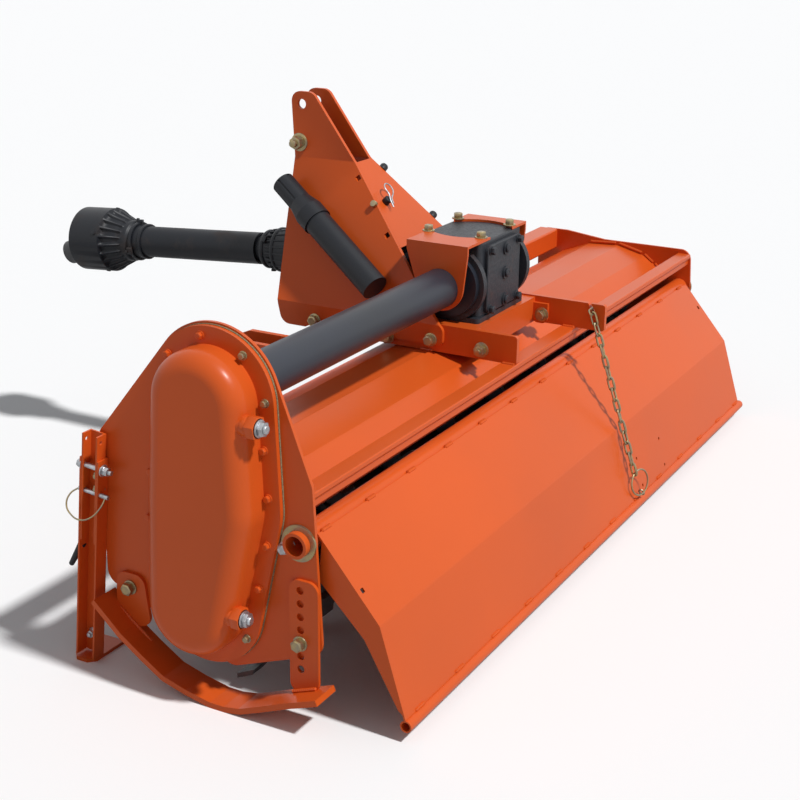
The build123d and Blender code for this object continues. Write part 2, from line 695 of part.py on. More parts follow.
with BuildPart() as stand_post:
    extrude(channel(leg_top.offset(POST_RISE), post_x, POST_WIDTH, POST_DEPTH), amount=-POST_LENGTH)
    with BuildSketch(leg_top.offset(POST_RISE - 4)):
        with Locations(((post_x - SLIDE) / 2, -LEG_WIDTH / 2)):
            Rectangle(post_x + SLIDE, POST_WIDTH - 8)
    extrude(amount=-PAD_LENGTH)
    hole_at = leg_top.from_local_coords((post_x + POST_DEPTH - 9, -LEG_WIDTH / 2, POST_RISE - 12))
    with BuildSketch(Plane(origin=hole_at, z_dir=leg_top.y_dir)):
        Circle(POST_HOLE_R)
    extrude(amount=POST_WIDTH, both=True, mode=Mode.SUBTRACT)
write(stand_post, "stand_post")

with BuildPart() as stand_leg:
    extrude(channel(leg_top, 0, LEG_WIDTH, LEG_DEPTH), amount=-(leg_length - FOOT[2]))
    foot_y = STAND_TOP[0] + STAND_TOP[1] * tan(rake)
    with BuildSketch(Plane.XY) as foot_face:
        with Locations((stand_x + 12, foot_y + FOOT[1] / 2 - 1)):
            Rectangle(FOOT[0], FOOT[1])
        chamfer(foot_face.vertices().group_by(Axis.X)[0], 12)
    extrude(amount=FOOT[2])
write(stand_leg, "stand_leg")

# ---------------------------------------------------------------- manual holder on the left mast plate
mast_rise = MAST_FOLD_Z - BAR_TOP_Z
mast_run = BAR_X - mast_inner


def beside_mast(y, z):
    """Point beside the left mast plate, far enough out for the cap of the holder to rest on the plate."""
    face_x = mast_inner + MAST + mast_run * (MAST_FOLD_Z - z) / mast_rise
    return Vector(-face_x - (CAP_R + FIT) * hypot(mast_rise, mast_run) / mast_rise, y, z)


holder_foot = beside_mast(*HOLDER_FOOT)
holder_run = beside_mast(*HOLDER_HEAD) - holder_foot
holder = Plane(origin=holder_foot, x_dir=holder_run.normalized(), z_dir=holder_run.cross(Vector(0, 0, 1)))
holder_length = holder_run.length
cap_start = holder_length - CAP_LENGTH
with BuildPart() as manual_holder:
    holder_profile = (
        (0, 0), (0, HOLDER_R), (cap_start, HOLDER_R), (cap_start, CAP_R), (cap_start + CAP_SKIRT, CAP_R),
        (cap_start + 2 * CAP_SKIRT, CAP_NOSE_R), (holder_length, CAP_NOSE_R), (holder_length, 0),
    )
    revolve(outline(holder, holder_profile), axis=Axis(holder.origin, holder.x_dir))
    flutes_end = holder_foot + holder.x_dir * (holder_length - 2)
    with BuildSketch(Plane(origin=flutes_end, x_dir=holder.y_dir, z_dir=holder.x_dir)):
        with PolarLocations(CAP_NOSE_R + 1, CAP_FLUTES):
            Circle(FLUTE_R)
    extrude(amount=-(CAP_LENGTH - 2 * CAP_SKIRT - 4), mode=Mode.SUBTRACT)
write(manual_holder, "manual_holder")

# ---------------------------------------------------------------- rotor
disc_span = 2 * (INNER - DISC_INSET)
disc_x = [-disc_span / 2 + step * disc_span / (DISCS - 1) for step in range(DISCS)]
with BuildPart() as rotor_shaft:
    with BuildSketch(section_at(-INNER + 2)):
        with Locations(ROTOR):
            Circle(JOURNAL_R)
    extrude(amount=2 * (INNER - 2))
    with BuildSketch(section_at(-INNER + BEARING + FIT)):
        with Locations(ROTOR):
            Circle(ROTOR_TUBE_R)
    extrude(amount=2 * (INNER - BEARING - FIT))
    for x in disc_x:
        with BuildSketch(section_at(x - DISC / 2)):
            with Locations(ROTOR):
                RegularPolygon(DISC_R, TINES)
        extrude(amount=DISC)
write(rotor_shaft, "rotor_shaft")

# One tine in its own frame, X outward and Z along the rotor. Its side view is a shank that curves back to
# the blade, and its end view is a bar that turns through a round bend from the disc to the side.
tine_side = Plane.XY.offset(-BLADE)
tine_end = Plane.XZ.offset(-BLADE)
tines = []
for hand in (-1, 1):
    with BuildPart() as tine:
        bar = ((56, hand * DISC / 2), (TINE_TIP_R, hand * DISC / 2), (TINE_TIP_R, hand * BLADE))
        with BuildSketch(tine_end):
            with BuildLine():
                FilletPolyline(*bar, radius=TINE_BEND)
                offset(amount=TINE, side=Side.LEFT if hand > 0 else Side.RIGHT)
            make_face()
        extrude(amount=2 * BLADE)
        with BuildSketch(tine_side):
            with BuildLine():
                Polyline((104, -19), (56, -19), (56, 21), (92, 21))
                ThreePointArc((92, 21), (120, 23), (TINE_TIP_R + 1, 34))
                Line((TINE_TIP_R + 1, 34), (TINE_TIP_R + 1, 2))
                ThreePointArc((TINE_TIP_R + 1, 2), (132, -13), (104, -19))
            make_face()
        extrude(amount=2 * BLADE, mode=Mode.INTERSECT)
    tines.append(tine.part)

phase = 360 / TINES / DISCS
with BuildPart() as rotor_tines:
    for hand, piece in enumerate(tines):
        places = []
        for index, x in enumerate(disc_x):
            for turn in range(hand, TINES, 2):
                angle = radians(TINE_TURN + turn * 360 / TINES + index * phase)
                places.append(Plane(origin=(x, *ROTOR), x_dir=(0, cos(angle), sin(angle)), z_dir=(1, 0, 0)))
        with Locations(*places):
            add(piece)
write(rotor_tines, "rotor_tines")

# ---------------------------------------------------------------- tailgate
slope = radians(GATE_SLOPE)
down = Vector(0, -cos(slope), -sin(slope))
out = Vector(0, -sin(slope), cos(slope))
gate_hinge = Vector(0, *HINGE)
gate_edge = gate_hinge + out * HINGE_R + down * 4
gate_bend = gate_hinge + out * HINGE_R + down * GATE_UPPER
gate_foot = Vector(0, *GATE_FOOT)
lower_run = (gate_foot - gate_bend).normalized()
gate_end = gate_foot - lower_run * GATE_FOOT_R
with BuildPart() as gate_tube:
    with BuildSketch(section_at(-SIDE - HINGE_REACH)):
        with Locations(HINGE):
            Circle(HINGE_R)
            Circle(HINGE_R - HINGE_WALL, mode=Mode.SUBTRACT)
    extrude(amount=2 * (SIDE + HINGE_REACH))
write(gate_tube, "gate_tube")

with BuildPart() as gate_panel:
    panel_line = [(p.Y, p.Z) for p in (gate_edge, gate_bend, gate_end)]
    extrude(sheet(section_at(-GATE_X), panel_line[::-1], 10, GATE), amount=2 * GATE_X)
    inward = out * WING
    wing = [(p.Y, p.Z) for p in (
        gate_edge + down * 14, gate_bend, gate_foot - lower_run * 20,
        gate_foot - lower_run * 30 - out * 6, gate_bend - inward * 0.8 + down * 6,
        gate_edge + down * 60 - inward,
    )]
    for x in (-GATE_X, GATE_X - GATE):
        extrude(outline(section_at(x), wing), amount=GATE)
    slope_face = Plane(origin=gate_hinge, x_dir=(1, 0, 0), z_dir=out)
    with BuildSketch(slope_face):
        with Locations(*((hole_x, -hole_s) for hole_x, hole_s in GATE_HOLES)):
            Rectangle(GATE_HOLE, GATE_HOLE)
    extrude(amount=2 * HINGE_R, mode=Mode.SUBTRACT)
    slot_x, slots, slot_pitch, slot_width, slot_length = GATE_SLOTS
    low_face = Plane(origin=gate_bend, x_dir=(1, 0, 0), z_dir=Vector(1, 0, 0).cross(lower_run) * -1)
    with BuildSketch(low_face):
        with Locations(*((slot_x + slot_pitch * step, -slot_length) for step in range(slots))):
            SlotOverall(slot_length, slot_width, rotation=90)
    extrude(amount=2 * GATE, both=True, mode=Mode.SUBTRACT)
write(gate_panel, "gate_panel")

with BuildPart() as gate_foot_tube:
    with BuildSketch(section_at(-GATE_X)):
        with Locations(GATE_FOOT):
            Circle(GATE_FOOT_R)
            Circle(GATE_FOOT_R - GATE_FOOT_WALL, mode=Mode.SUBTRACT)
    extrude(amount=2 * GATE_X + 10)
write(gate_foot_tube, "gate_foot_tube")

# Retainers that keep the hinge tube in the end plates
with BuildPart() as hinge_retainers:
    for x in (-SIDE, SIDE):
        with BuildSketch(section_at(x)):
            with Locations(HINGE):
                Circle(HINGE_R + RETAINER_EAR_R)
            with Locations((HINGE[0] + RETAINER_EAR[0], HINGE[1] + RETAINER_EAR[1])):
                Circle(RETAINER_EAR_R)
            make_hull()
            with Locations(HINGE):
                Circle(HINGE_R + FIT, mode=Mode.SUBTRACT)
        extrude(amount=RETAINER if x > 0 else -RETAINER)
write(hinge_retainers, "hinge_retainers")

# ---------------------------------------------------------------- lift chain
chain_lean = radians(CHAIN_LEAN)
slot_lean = radians(SLOT_LEAN)
link_run = Vector(0, -sin(chain_lean), -cos(chain_lean))
link_out = Vector(0, -cos(chain_lean), sin(chain_lean))
across = Vector(1, 0, 0)
link_arc = LINK_WIDTH / 2 - WIRE_R
link_pitch = LINK_INNER - FIT
anchor_inner = BAR + 2 * WIRE_R + ANCHOR_SPARE


def chain_link(inner):
    """A welded link on end across X, with the given inner length. Its two halves meet at mid length."""
    half = inner / 2 + WIRE_R - link_arc
    with BuildPart() as link:
        for end in (-1, 1):
            stations = [((link_arc, 0, 0), 0), ((-link_arc, 0, 0), 180)]
            turns = [180 * step / BENDS for step in range(BENDS + 1)]
            path = [stations[0]] + [
                ((link_arc * cos(radians(t)), 0, end * (half + link_arc * sin(radians(t)))), t) for t in turns
            ] + [stations[1]]
            for (x, y, z), turn in path:
                outward = Vector(cos(radians(turn)), 0, end * sin(radians(turn)))
                along = outward.cross(Vector(0, 1, 0))
                with BuildSketch(Plane(origin=(x, y, z), x_dir=outward, z_dir=along)):
                    RegularPolygon(WIRE_R, 6)
            loft(ruled=True)
    return link.part


# The anchor link lies through the slot of the right bar, and its lower leg carries the chain.
pivot = Vector(CHAIN_X, *CHAIN_PIVOT)
slot_up = Vector(0, sin(slot_lean), cos(slot_lean))
anchor_centre = Vector(BAR_X + FIT - anchor_inner / 2, *CHAIN_PIVOT) + slot_up * link_arc
with BuildPart() as anchor_link:
    with Locations(Plane(origin=anchor_centre, z_dir=across, x_dir=slot_up)):
        add(chain_link(anchor_inner))
write(anchor_link, "anchor_link")

first_link = pivot + link_run * (LINK_INNER / 2 - WIRE_R - FIT)
with BuildPart() as lift_chain:
    places = [
        Plane(
            origin=first_link + link_run * link_pitch * index, z_dir=link_run,
            x_dir=across if index % 2 else link_out,
        )
        for index in range(LINKS)
    ]
    with Locations(*places):
        add(chain_link(LINK_INNER))
write(lift_chain, "lift_chain")

ring_tilt = radians(RING_TILT)
ring_hang = link_run * cos(ring_tilt) + across * sin(ring_tilt)
last_link = first_link + link_run * link_pitch * (LINKS - 1)
ring_top = last_link + link_run * (LINK_INNER / 2 - RING_WIRE_R - FIT - WIRE_R * tan(ring_tilt))
ring_centre = ring_top + ring_hang * RING_R
ring_side = ring_hang.cross(link_out)
with BuildPart() as chain_ring:
    for half in (-1, 1):
        for step in range(RING_FLATS // 2 + 1):
            turn = half * 360 * step / RING_FLATS
            outward = -ring_hang * cos(radians(turn)) + ring_side * sin(radians(turn))
            wire_at = ring_centre + outward * RING_R
            with BuildSketch(Plane(origin=wire_at, x_dir=outward, z_dir=outward.cross(link_out))):
                RegularPolygon(RING_WIRE_R, 6)
        loft(ruled=True)
write(chain_ring, "chain_ring")

# ---------------------------------------------------------------- driveline
droop = radians(DROOP)
joint = Vector(0, PIVOT_Y, SHAFT_Z)
forward = Vector(0, cos(droop), -sin(droop))
# Plane through the shaft: X forward along it, Y away from it.
drive = Plane(origin=joint, x_dir=forward, z_dir=(1, 0, 0))
shaft_axis = Axis(joint, forward)
rest_at = joint + forward * REST_AT - drive.y_dir * (BELL_R + FIT + REST_R)
with BuildPart() as driveline_rest:
    with BuildSketch(section_at(SLIDE - BAR_X)):
        with Locations((rest_at.Y, rest_at.Z)):
            Circle(REST_R)
    extrude(amount=2 * (BAR_X - SLIDE))
write(driveline_rest, "driveline_rest")

# Cross of the rear universal joint: one pin lies along X in the gearbox's fork, the other in the driveline's
with BuildPart() as joint_cross:
    for pin_axis in (Vector(1, 0, 0), drive.y_dir):
        with BuildSketch(Plane(origin=joint, z_dir=pin_axis)):
            Circle(CROSS_PIN_R)
        extrude(amount=EAR_SPAN[1], both=True)
    with Locations(joint):
        Sphere(CROSS_BODY / 2)
write(joint_cross, "joint_cross")

with BuildPart() as driveline_inner:
    with BuildSketch(Plane(origin=joint + forward * FORK_HUB[0], x_dir=(1, 0, 0), z_dir=forward)):
        Circle(EAR_SPAN[1])
    extrude(amount=FORK_HUB[1] - FORK_HUB[0])
    with BuildSketch(Plane(origin=joint + forward * FORK_HUB[1], x_dir=(1, 0, 0), z_dir=forward)):
        Circle(INNER_TUBE_R)
    extrude(amount=INNER_TUBE_END - FORK_HUB[1])
    for side in (-1, 1):
        ear_at = joint + drive.y_dir * side * EAR_SPAN[0]
        with BuildSketch(Plane(origin=ear_at, x_dir=forward, z_dir=drive.y_dir)):
            Circle(EAR_R)
            with Locations((FORK_HUB[0] + FORK_FOOT[0] / 2, 0)):
                Rectangle(*FORK_FOOT)
            make_hull()
            Circle(CROSS_PIN_R + FIT, mode=Mode.SUBTRACT)
        extrude(amount=side * (EAR_SPAN[1] - EAR_SPAN[0]))
write(driveline_inner, "driveline_inner")

with BuildPart() as driveline_bell:
    bell_profile = (
        (-18, BELL_R), (46, BELL_R), (70, 60), (150, 47), (168, 45), (172, 40), (205, 38.5),
        (BELL_END, 34), (BELL_END, INNER_TUBE_R), (186, INNER_TUBE_R), (160, 36), (70, 52),
        (46, BELL_R - BELL_WALL), (-18, BELL_R - BELL_WALL),
    )
    revolve(outline(drive, bell_profile), axis=shaft_axis)
write(driveline_bell, "driveline_bell")

# Outer half of the telescope with the front guard: tube, ribbed cone and open mouth
front_hub = (CONE_START + 8, CONE_START + 24)
cone_end = CONE_START + 34
with BuildPart() as driveline_outer:
    tube_profile = (
        (TUBE_START, INNER_TUBE_R + FIT), (TUBE_START, OUTER_TUBE_R), (TUBE_END, OUTER_TUBE_R),
        (TUBE_END + 4, 36), (TUBE_END + 34, 39), (TUBE_END + 38, 45), (TUBE_END + 56, 47),
        (CONE_START, 50), (CONE_START + 30, 60), (cone_end, MOUTH_R), (MOUTH, MOUTH_R),
        (MOUTH, MOUTH_R - MOUTH_WALL), (cone_end + 8, MOUTH_R - MOUTH_WALL), (cone_end - 2, 52),
        (front_hub[0], 44), (front_hub[0], 0), (TUBE_END - 20, 0), (TUBE_END - 20, INNER_TUBE_R + FIT),
    )
    revolve(outline(drive, tube_profile), axis=shaft_axis)
    rib = ((TUBE_END + 50, 44), (TUBE_END + 50, 49), (cone_end, MOUTH_R - 2), (cone_end, 60))
    with BuildPart(mode=Mode.PRIVATE) as cone_rib:
        extrude(outline(drive, rib), amount=2, both=True)
    for index in range(CONE_RIBS):
        add(cone_rib.part.rotate(shaft_axis, index * 360 / CONE_RIBS))
write(driveline_outer, "driveline_outer")

# Driveline's half of the front universal joint, inside the guard: a fork, its pin and a ball
front_joint = joint + forward * FRONT_JOINT
ear_foot = joint + forward * (front_hub[1] - FORK_FOOT[0] / 2)
with BuildPart() as front_fork:
    with BuildSketch(Plane(origin=joint + forward * front_hub[0], x_dir=(1, 0, 0), z_dir=forward)):
        Circle(EAR_SPAN[1])
    extrude(amount=front_hub[1] - front_hub[0])
    for side in (-1, 1):
        with BuildSketch(section_at(side * EAR_SPAN[0])):
            with Locations((front_joint.Y, front_joint.Z)):
                Circle(EAR_R)
            with Locations((ear_foot.Y, ear_foot.Z)):
                Rectangle(*FORK_FOOT, rotation=-DROOP)
            make_hull()
        extrude(amount=side * (EAR_SPAN[1] - EAR_SPAN[0]))
    with BuildSketch(section_at(0)):
        with Locations((front_joint.Y, front_joint.Z)):
            Circle(CROSS_PIN_R)
    extrude(amount=EAR_SPAN[1] + 2, both=True)
    with Locations(front_joint):
        Sphere(BALL_R, rotation=(0, 90, 0))
write(front_fork, "front_fork")

nose_lean = radians(DROOP + NOSE_DROOP)
nose_ahead = Vector(0, cos(nose_lean), -sin(nose_lean))
nose = Plane(origin=front_joint, x_dir=nose_ahead, z_dir=(1, 0, 0))
cup_r = BALL_R + SLIDE
cup_lip_r = sqrt(cup_r ** 2 - CUP_AT ** 2)
with BuildPart() as pto_yoke:
    with BuildSketch(nose) as yoke_half:
        with BuildLine():
            Polyline(
                (CUP_AT, cup_lip_r), (CUP_AT, YOKE_NECK_R), (30, YOKE_NECK_R), (36, YOKE_R), (62, YOKE_R),
                (64, COLLAR_R), (80, COLLAR_R), (82, YOKE_R), (YOKE_LENGTH, YOKE_R),
                (YOKE_LENGTH, PTO_BORE_R), (YOKE_LENGTH - YOKE_BORE, PTO_BORE_R),
                (YOKE_LENGTH - YOKE_BORE, 0), (cup_r, 0),
            )
            RadiusArc((cup_r, 0), (CUP_AT, cup_lip_r), -cup_r)
        make_face()
    revolve(axis=Axis(front_joint, nose_ahead))
write(pto_yoke, "pto_yoke")
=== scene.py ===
import json
from math import atan2, cos, hypot, pi, radians, sin, tan

import bmesh
import bpy
from mathutils import Matrix, Vector


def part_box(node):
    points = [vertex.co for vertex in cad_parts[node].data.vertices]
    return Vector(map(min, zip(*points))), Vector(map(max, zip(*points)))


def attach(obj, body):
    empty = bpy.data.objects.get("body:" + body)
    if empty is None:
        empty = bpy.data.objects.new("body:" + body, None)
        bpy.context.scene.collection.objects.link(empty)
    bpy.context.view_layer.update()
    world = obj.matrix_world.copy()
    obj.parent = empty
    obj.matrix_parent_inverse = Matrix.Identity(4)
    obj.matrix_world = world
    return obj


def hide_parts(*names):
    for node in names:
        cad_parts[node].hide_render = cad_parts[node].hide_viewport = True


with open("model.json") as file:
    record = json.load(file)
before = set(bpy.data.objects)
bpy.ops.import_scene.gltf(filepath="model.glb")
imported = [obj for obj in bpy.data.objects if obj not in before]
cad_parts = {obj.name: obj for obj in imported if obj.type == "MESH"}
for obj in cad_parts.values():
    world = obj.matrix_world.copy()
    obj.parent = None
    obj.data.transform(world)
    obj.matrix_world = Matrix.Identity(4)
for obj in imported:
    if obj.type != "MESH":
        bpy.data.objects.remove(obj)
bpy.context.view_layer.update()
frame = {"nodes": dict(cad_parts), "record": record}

bl_info = {
    "name": "Rotavator",
    "version": (1, 0, 0),
    "blender": (4, 5, 0),
    "location": "View3D > Sidebar > Rotavator",
    "description": "Dresses the frame of a three-point rotavator with its finishes, fasteners and fittings",
    "category": "Object",
}

MM = 0.001

# Places are given in mm: X along the rotor, Y forward from the rear edge of the end plates and
# Z up from the ground.
REAR_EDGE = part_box("front_tube")[1].y - 402 * MM
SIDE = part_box("right_end_plate")[1].x / MM
PLATE = 6                            # thickness of the end plates and the skids' straps
BAR_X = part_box("bar_right")[1].x / MM
CASE_FACE = -SIDE - 11               # outer face of the chain case flange
CASE_CROWN = (170, 513)
CASE_CROWN_R = 112
CASE_REAR_BOLTS = ((77, 446), (71, 370), (75, 291), (91, 215), (116, 122))
PLATED = (2, 3, 12)                  # bolts of the case that were fitted after painting
PLUGS = ((62, 495), (98, 176))
PLUG_OUT = 34                        # from the flange's face to the plugs' axes
GEARBOX_TOP_BOLTS = ((-64, 121), (-64, 235), (64, 121), (64, 235))
GEARBOX_COVER_BOLTS = ((-62, 578), (62, 577), (-61, 461), (61, 461))
GEARBOX_FRONT_BOLTS = ((-46, 468), (-46, 560), (46, 468), (46, 560))
GEARBOX_FRONT_Y = 257
GEARBOX_PLUGS = ((6, 466), (6, 520), (6, 569))
DECK_BOLTS = ((177, 413, 10, 0.2), (271, 404, 10, 1.1), (439, 413, 0, 0.6))  # Y, Z, flange and turn
DECK_NUT = (72, 407)
SKID_BOLTS = ((349, 151, 0.5), (20, 137, 0.15))                              # Y, Z and turn
RETAINER_BOLT = (47, 292)
ROTOR = (196, 168)
DISCS = 8
DISC_INSET = 78
BEARING_BOLT_R = 52
HUB_BOLT_R = 74
TINES = 6
TINE_TURN = 5                        # degrees
TINE_BOLTS = ((66, -9), (66, 11))    # out from the rotor's axis, and aside
HITCH_X = 342
HITCH_GAP = 27                       # from a clevis's middle to its plates
HITCH_PLATE = 12
HITCH_PIN = (545, 361)
PIVOT_Y = 450
SHAFT_Z = 514
DROOP = radians(4.3)                 # of the driveline
GUARD_MOUTH = 742                    # along the driveline
GUARD_DRAWN = 44
FRONT_CLAMPS = ((527, 37), (549, 41))  # along the driveline, and radius
REAR_CLAMPS = ((168, 45), (198, 39))
GUARD_RIBS = 20
RAKE = radians(5.6)                  # of the parking stand
SKID_SEAMS = (((309, 62), (375, 113)), ((-9, 66), (36, 49)))   # Y and Z of a seam's ends
HOOD_SEAMS = (
    ((57, 330), (88, 355)), ((92, 357), (116, 375)), ((122, 378), (184, 394)), ((192, 394), (260, 390)),
)
BAR_SEAMS = (((2, 389), (28, 389)), ((176, 389), (204, 389)))
HITCH_SEAM = ((403, 366), (403, 407))
HINGE_SEAM = (3, 316.5)
FOOT_SEAM = (-152, 41)
GATE_BEND = (-103.6, 187.2)
GATE_FOOT = (-153, 29)
GATE_HOLES = ((192, 82.5), (328, 82.5), (192, 142), (328, 142))  # X, and distance below the bend
GATE_HOLE_R = 3.5
CHAIN_PIVOT = (131, -40, 423.7)
LINKS = 15
LINK_PITCH = 23.1
LINK_INNER = 23.4
LINK_WIDTH = 15.5
LINK_WIRE = 2.3
RING_R = 27
CHAIN_LEAN = radians(18.8)
SLOT_LEAN = radians(32)
RING_TILT = radians(30)
RING_TURN = radians(-19)             # of the ring about the line that it hangs along
TUBE_TOP_Z = 410
MAST_OUTER = 33                      # outer face of the mast plates above their fold
MAST_FOLD_Z = 711
MAST_SLOPE = 125 / 268               # sideways run of a mast plate per unit of height below the fold
MAST_LEAN = atan2(125, 268)
MAST_BOLT = (550, 741)
MAST_PEG = (355, 640)
CLIP_PEG = (-33, 348, 641)
MAST_HOLES = ((405, 684), (313, 587))
MAST_CORNERS = (                     # Y, Z and radius
    (570, 843, 20), (519, 843, 20), (152, 435, 14), (152, 403, 10), (518, 395, 22),
)
STAND_X = -890
STAND_BOLT = (401, 357)
STAND_PIN = (404, 312)
STAND_WIDTH = 44
STAND_POST_NUTS = ((397, 341), (399, 318))
STAND_FOOT_BOLT = (436, 44)
STAND_PEG = ((-884, 438, 214), (-884, 466, 168))

UP = Vector((0, 0, 1))
LEFT = Vector((-1, 0, 0))
RIGHT = Vector((1, 0, 0))
REARWARD = Vector((0, -1, 0))
FORWARD = Vector((0, 1, 0))
PANEL_UP = Vector((0, 139, 144)).normalized()
PANEL_OUT = Vector((0, -144, 139)).normalized()
SHAFT_AHEAD = Vector((0, cos(DROOP), -sin(DROOP)))
SHAFT_ABOVE = Vector((0, sin(DROOP), cos(DROOP)))
SUN_FROM = Vector((-0.03, -0.57, 0.82))
CAMERA_AT = (-2.6086, -1.6226, 1.2600)
CAMERA_TURN = radians(-61.309)
CAMERA_TILT = radians(19.376)
CAMERA_ROLL = radians(0.6506)
CAMERA_LENS = 67.5


# ---- user settings
class RotavatorFinish(bpy.types.PropertyGroup):
    paint: bpy.props.FloatVectorProperty(
        name="Paint", description="Colour of the painted sheet and plate", subtype="COLOR", size=3,
        default=(0.66, 0.098, 0.013), min=0, max=1)
    black: bpy.props.FloatVectorProperty(
        name="Black", description="Colour of the castings, tubes and mouldings", subtype="COLOR", size=3,
        default=(0.013, 0.015, 0.020), min=0, max=1)
    yellow_zinc: bpy.props.FloatVectorProperty(
        name="Yellow zinc", description="Colour of the chromated fasteners and the chain",
        subtype="COLOR", size=3, default=(0.42, 0.33, 0.16), min=0, max=1)
    bright_zinc: bpy.props.FloatVectorProperty(
        name="Bright zinc", description="Colour of the clear plated fasteners", subtype="COLOR", size=3,
        default=(0.58, 0.60, 0.63), min=0, max=1)


class RotavatorHardware(bpy.types.PropertyGroup):
    case_bolt: bpy.props.FloatProperty(
        name="Case bolt", description="Width across flats of the chain case bolts", subtype="DISTANCE",
        unit="LENGTH", default=10 * MM, min=6 * MM, max=16 * MM)
    frame_bolt: bpy.props.FloatProperty(
        name="Frame bolt", description="Width across flats of the bolts of the bars, mast and skids",
        subtype="DISTANCE", unit="LENGTH", default=19 * MM, min=13 * MM, max=27 * MM)
    weld: bpy.props.FloatProperty(
        name="Weld", description="Width of a weld bead", subtype="DISTANCE", unit="LENGTH",
        default=6 * MM, min=3 * MM, max=10 * MM)


class RotavatorStudio(bpy.types.PropertyGroup):
    floor: bpy.props.FloatVectorProperty(
        name="Floor", description="Colour of the floor", subtype="COLOR", size=3,
        default=(0.62, 0.62, 0.62), min=0, max=1)
    sun: bpy.props.FloatProperty(
        name="Sun", description="Strength of the key light", default=2.9, min=0, max=10)
    sky: bpy.props.FloatProperty(
        name="Sky", description="Strength of the soft light", default=0.25, min=0, max=5)


def settings(group):
    return getattr(bpy.context.scene, "rotavator_" + group)


# ---- places
def spot(x, y, z):
    """A place in metres in the frame, from mm with Y measured from the rear edge of the end plates."""
    return Vector((x * MM, y * MM + REAR_EDGE, z * MM))


def facing(at, axis, turn=0.0):
    """Placement of a shape that is built along +Z, at a place and along an axis."""
    aim = Vector(axis).to_track_quat("Z", "Y").to_matrix().to_4x4()
    return Matrix.Translation(at) @ aim @ Matrix.Rotation(turn, 4, "Z")


def mast_face(z):
    """Distance of the mast plates' outer faces from the middle at a height."""
    return MAST_OUTER + max(0, MAST_FOLD_Z - z) * MAST_SLOPE


def on_shaft(along, out=0.0, turn=0.0):
    """A place beside the driveline, from the distance along it, out of it and the turn round it."""
    outward = SHAFT_ABOVE * cos(turn) + RIGHT * sin(turn)
    return spot(0, PIVOT_Y, SHAFT_Z) + (SHAFT_AHEAD * along + outward * out) * MM


# ---- node groups and materials
def new_group(name, inputs, outputs):
    group = bpy.data.node_groups.new(name, "ShaderNodeTree")
    for label, kind, value in inputs:
        socket = group.interface.new_socket(name=label, in_out="INPUT", socket_type=kind)
        if value is not None:
            socket.default_value = value
    for label, kind in outputs:
        group.interface.new_socket(name=label, in_out="OUTPUT", socket_type=kind)
    return group, group.nodes.new("NodeGroupInput"), group.nodes.new("NodeGroupOutput")


def noise(tree, vector, scale, detail=3.0, roughness=0.5):
    node = tree.nodes.new("ShaderNodeTexNoise")
    node.inputs["Scale"].default_value = scale
    node.inputs["Detail"].default_value = detail
    node.inputs["Roughness"].default_value = roughness
    tree.links.new(vector, node.inputs["Vector"])
    return node


def fitted(tree, value, low, high, to_low, to_high):
    """Map a value from one range to another, held to its ends."""
    node = tree.nodes.new("ShaderNodeMapRange")
    for label, number in (("From Min", low), ("From Max", high), ("To Min", to_low), ("To Max", to_high)):
        node.inputs[label].default_value = number
    tree.links.new(value, node.inputs["Value"])
    return node.outputs["Result"]


def mixed(tree, mask, low, high, blend="MIX"):
    """Mix two colours, given as sockets or plain colours, by a mask."""
    node = tree.nodes.new("ShaderNodeMix")
    node.data_type = "RGBA"
    node.blend_type = blend
    for socket, value in ((node.inputs[0], mask), (node.inputs[6], low), (node.inputs[7], high)):
        if isinstance(value, bpy.types.NodeSocket):
            tree.links.new(value, socket)
        else:
            socket.default_value = value if isinstance(value, float) else (*value, 1)
    return node.outputs[2]


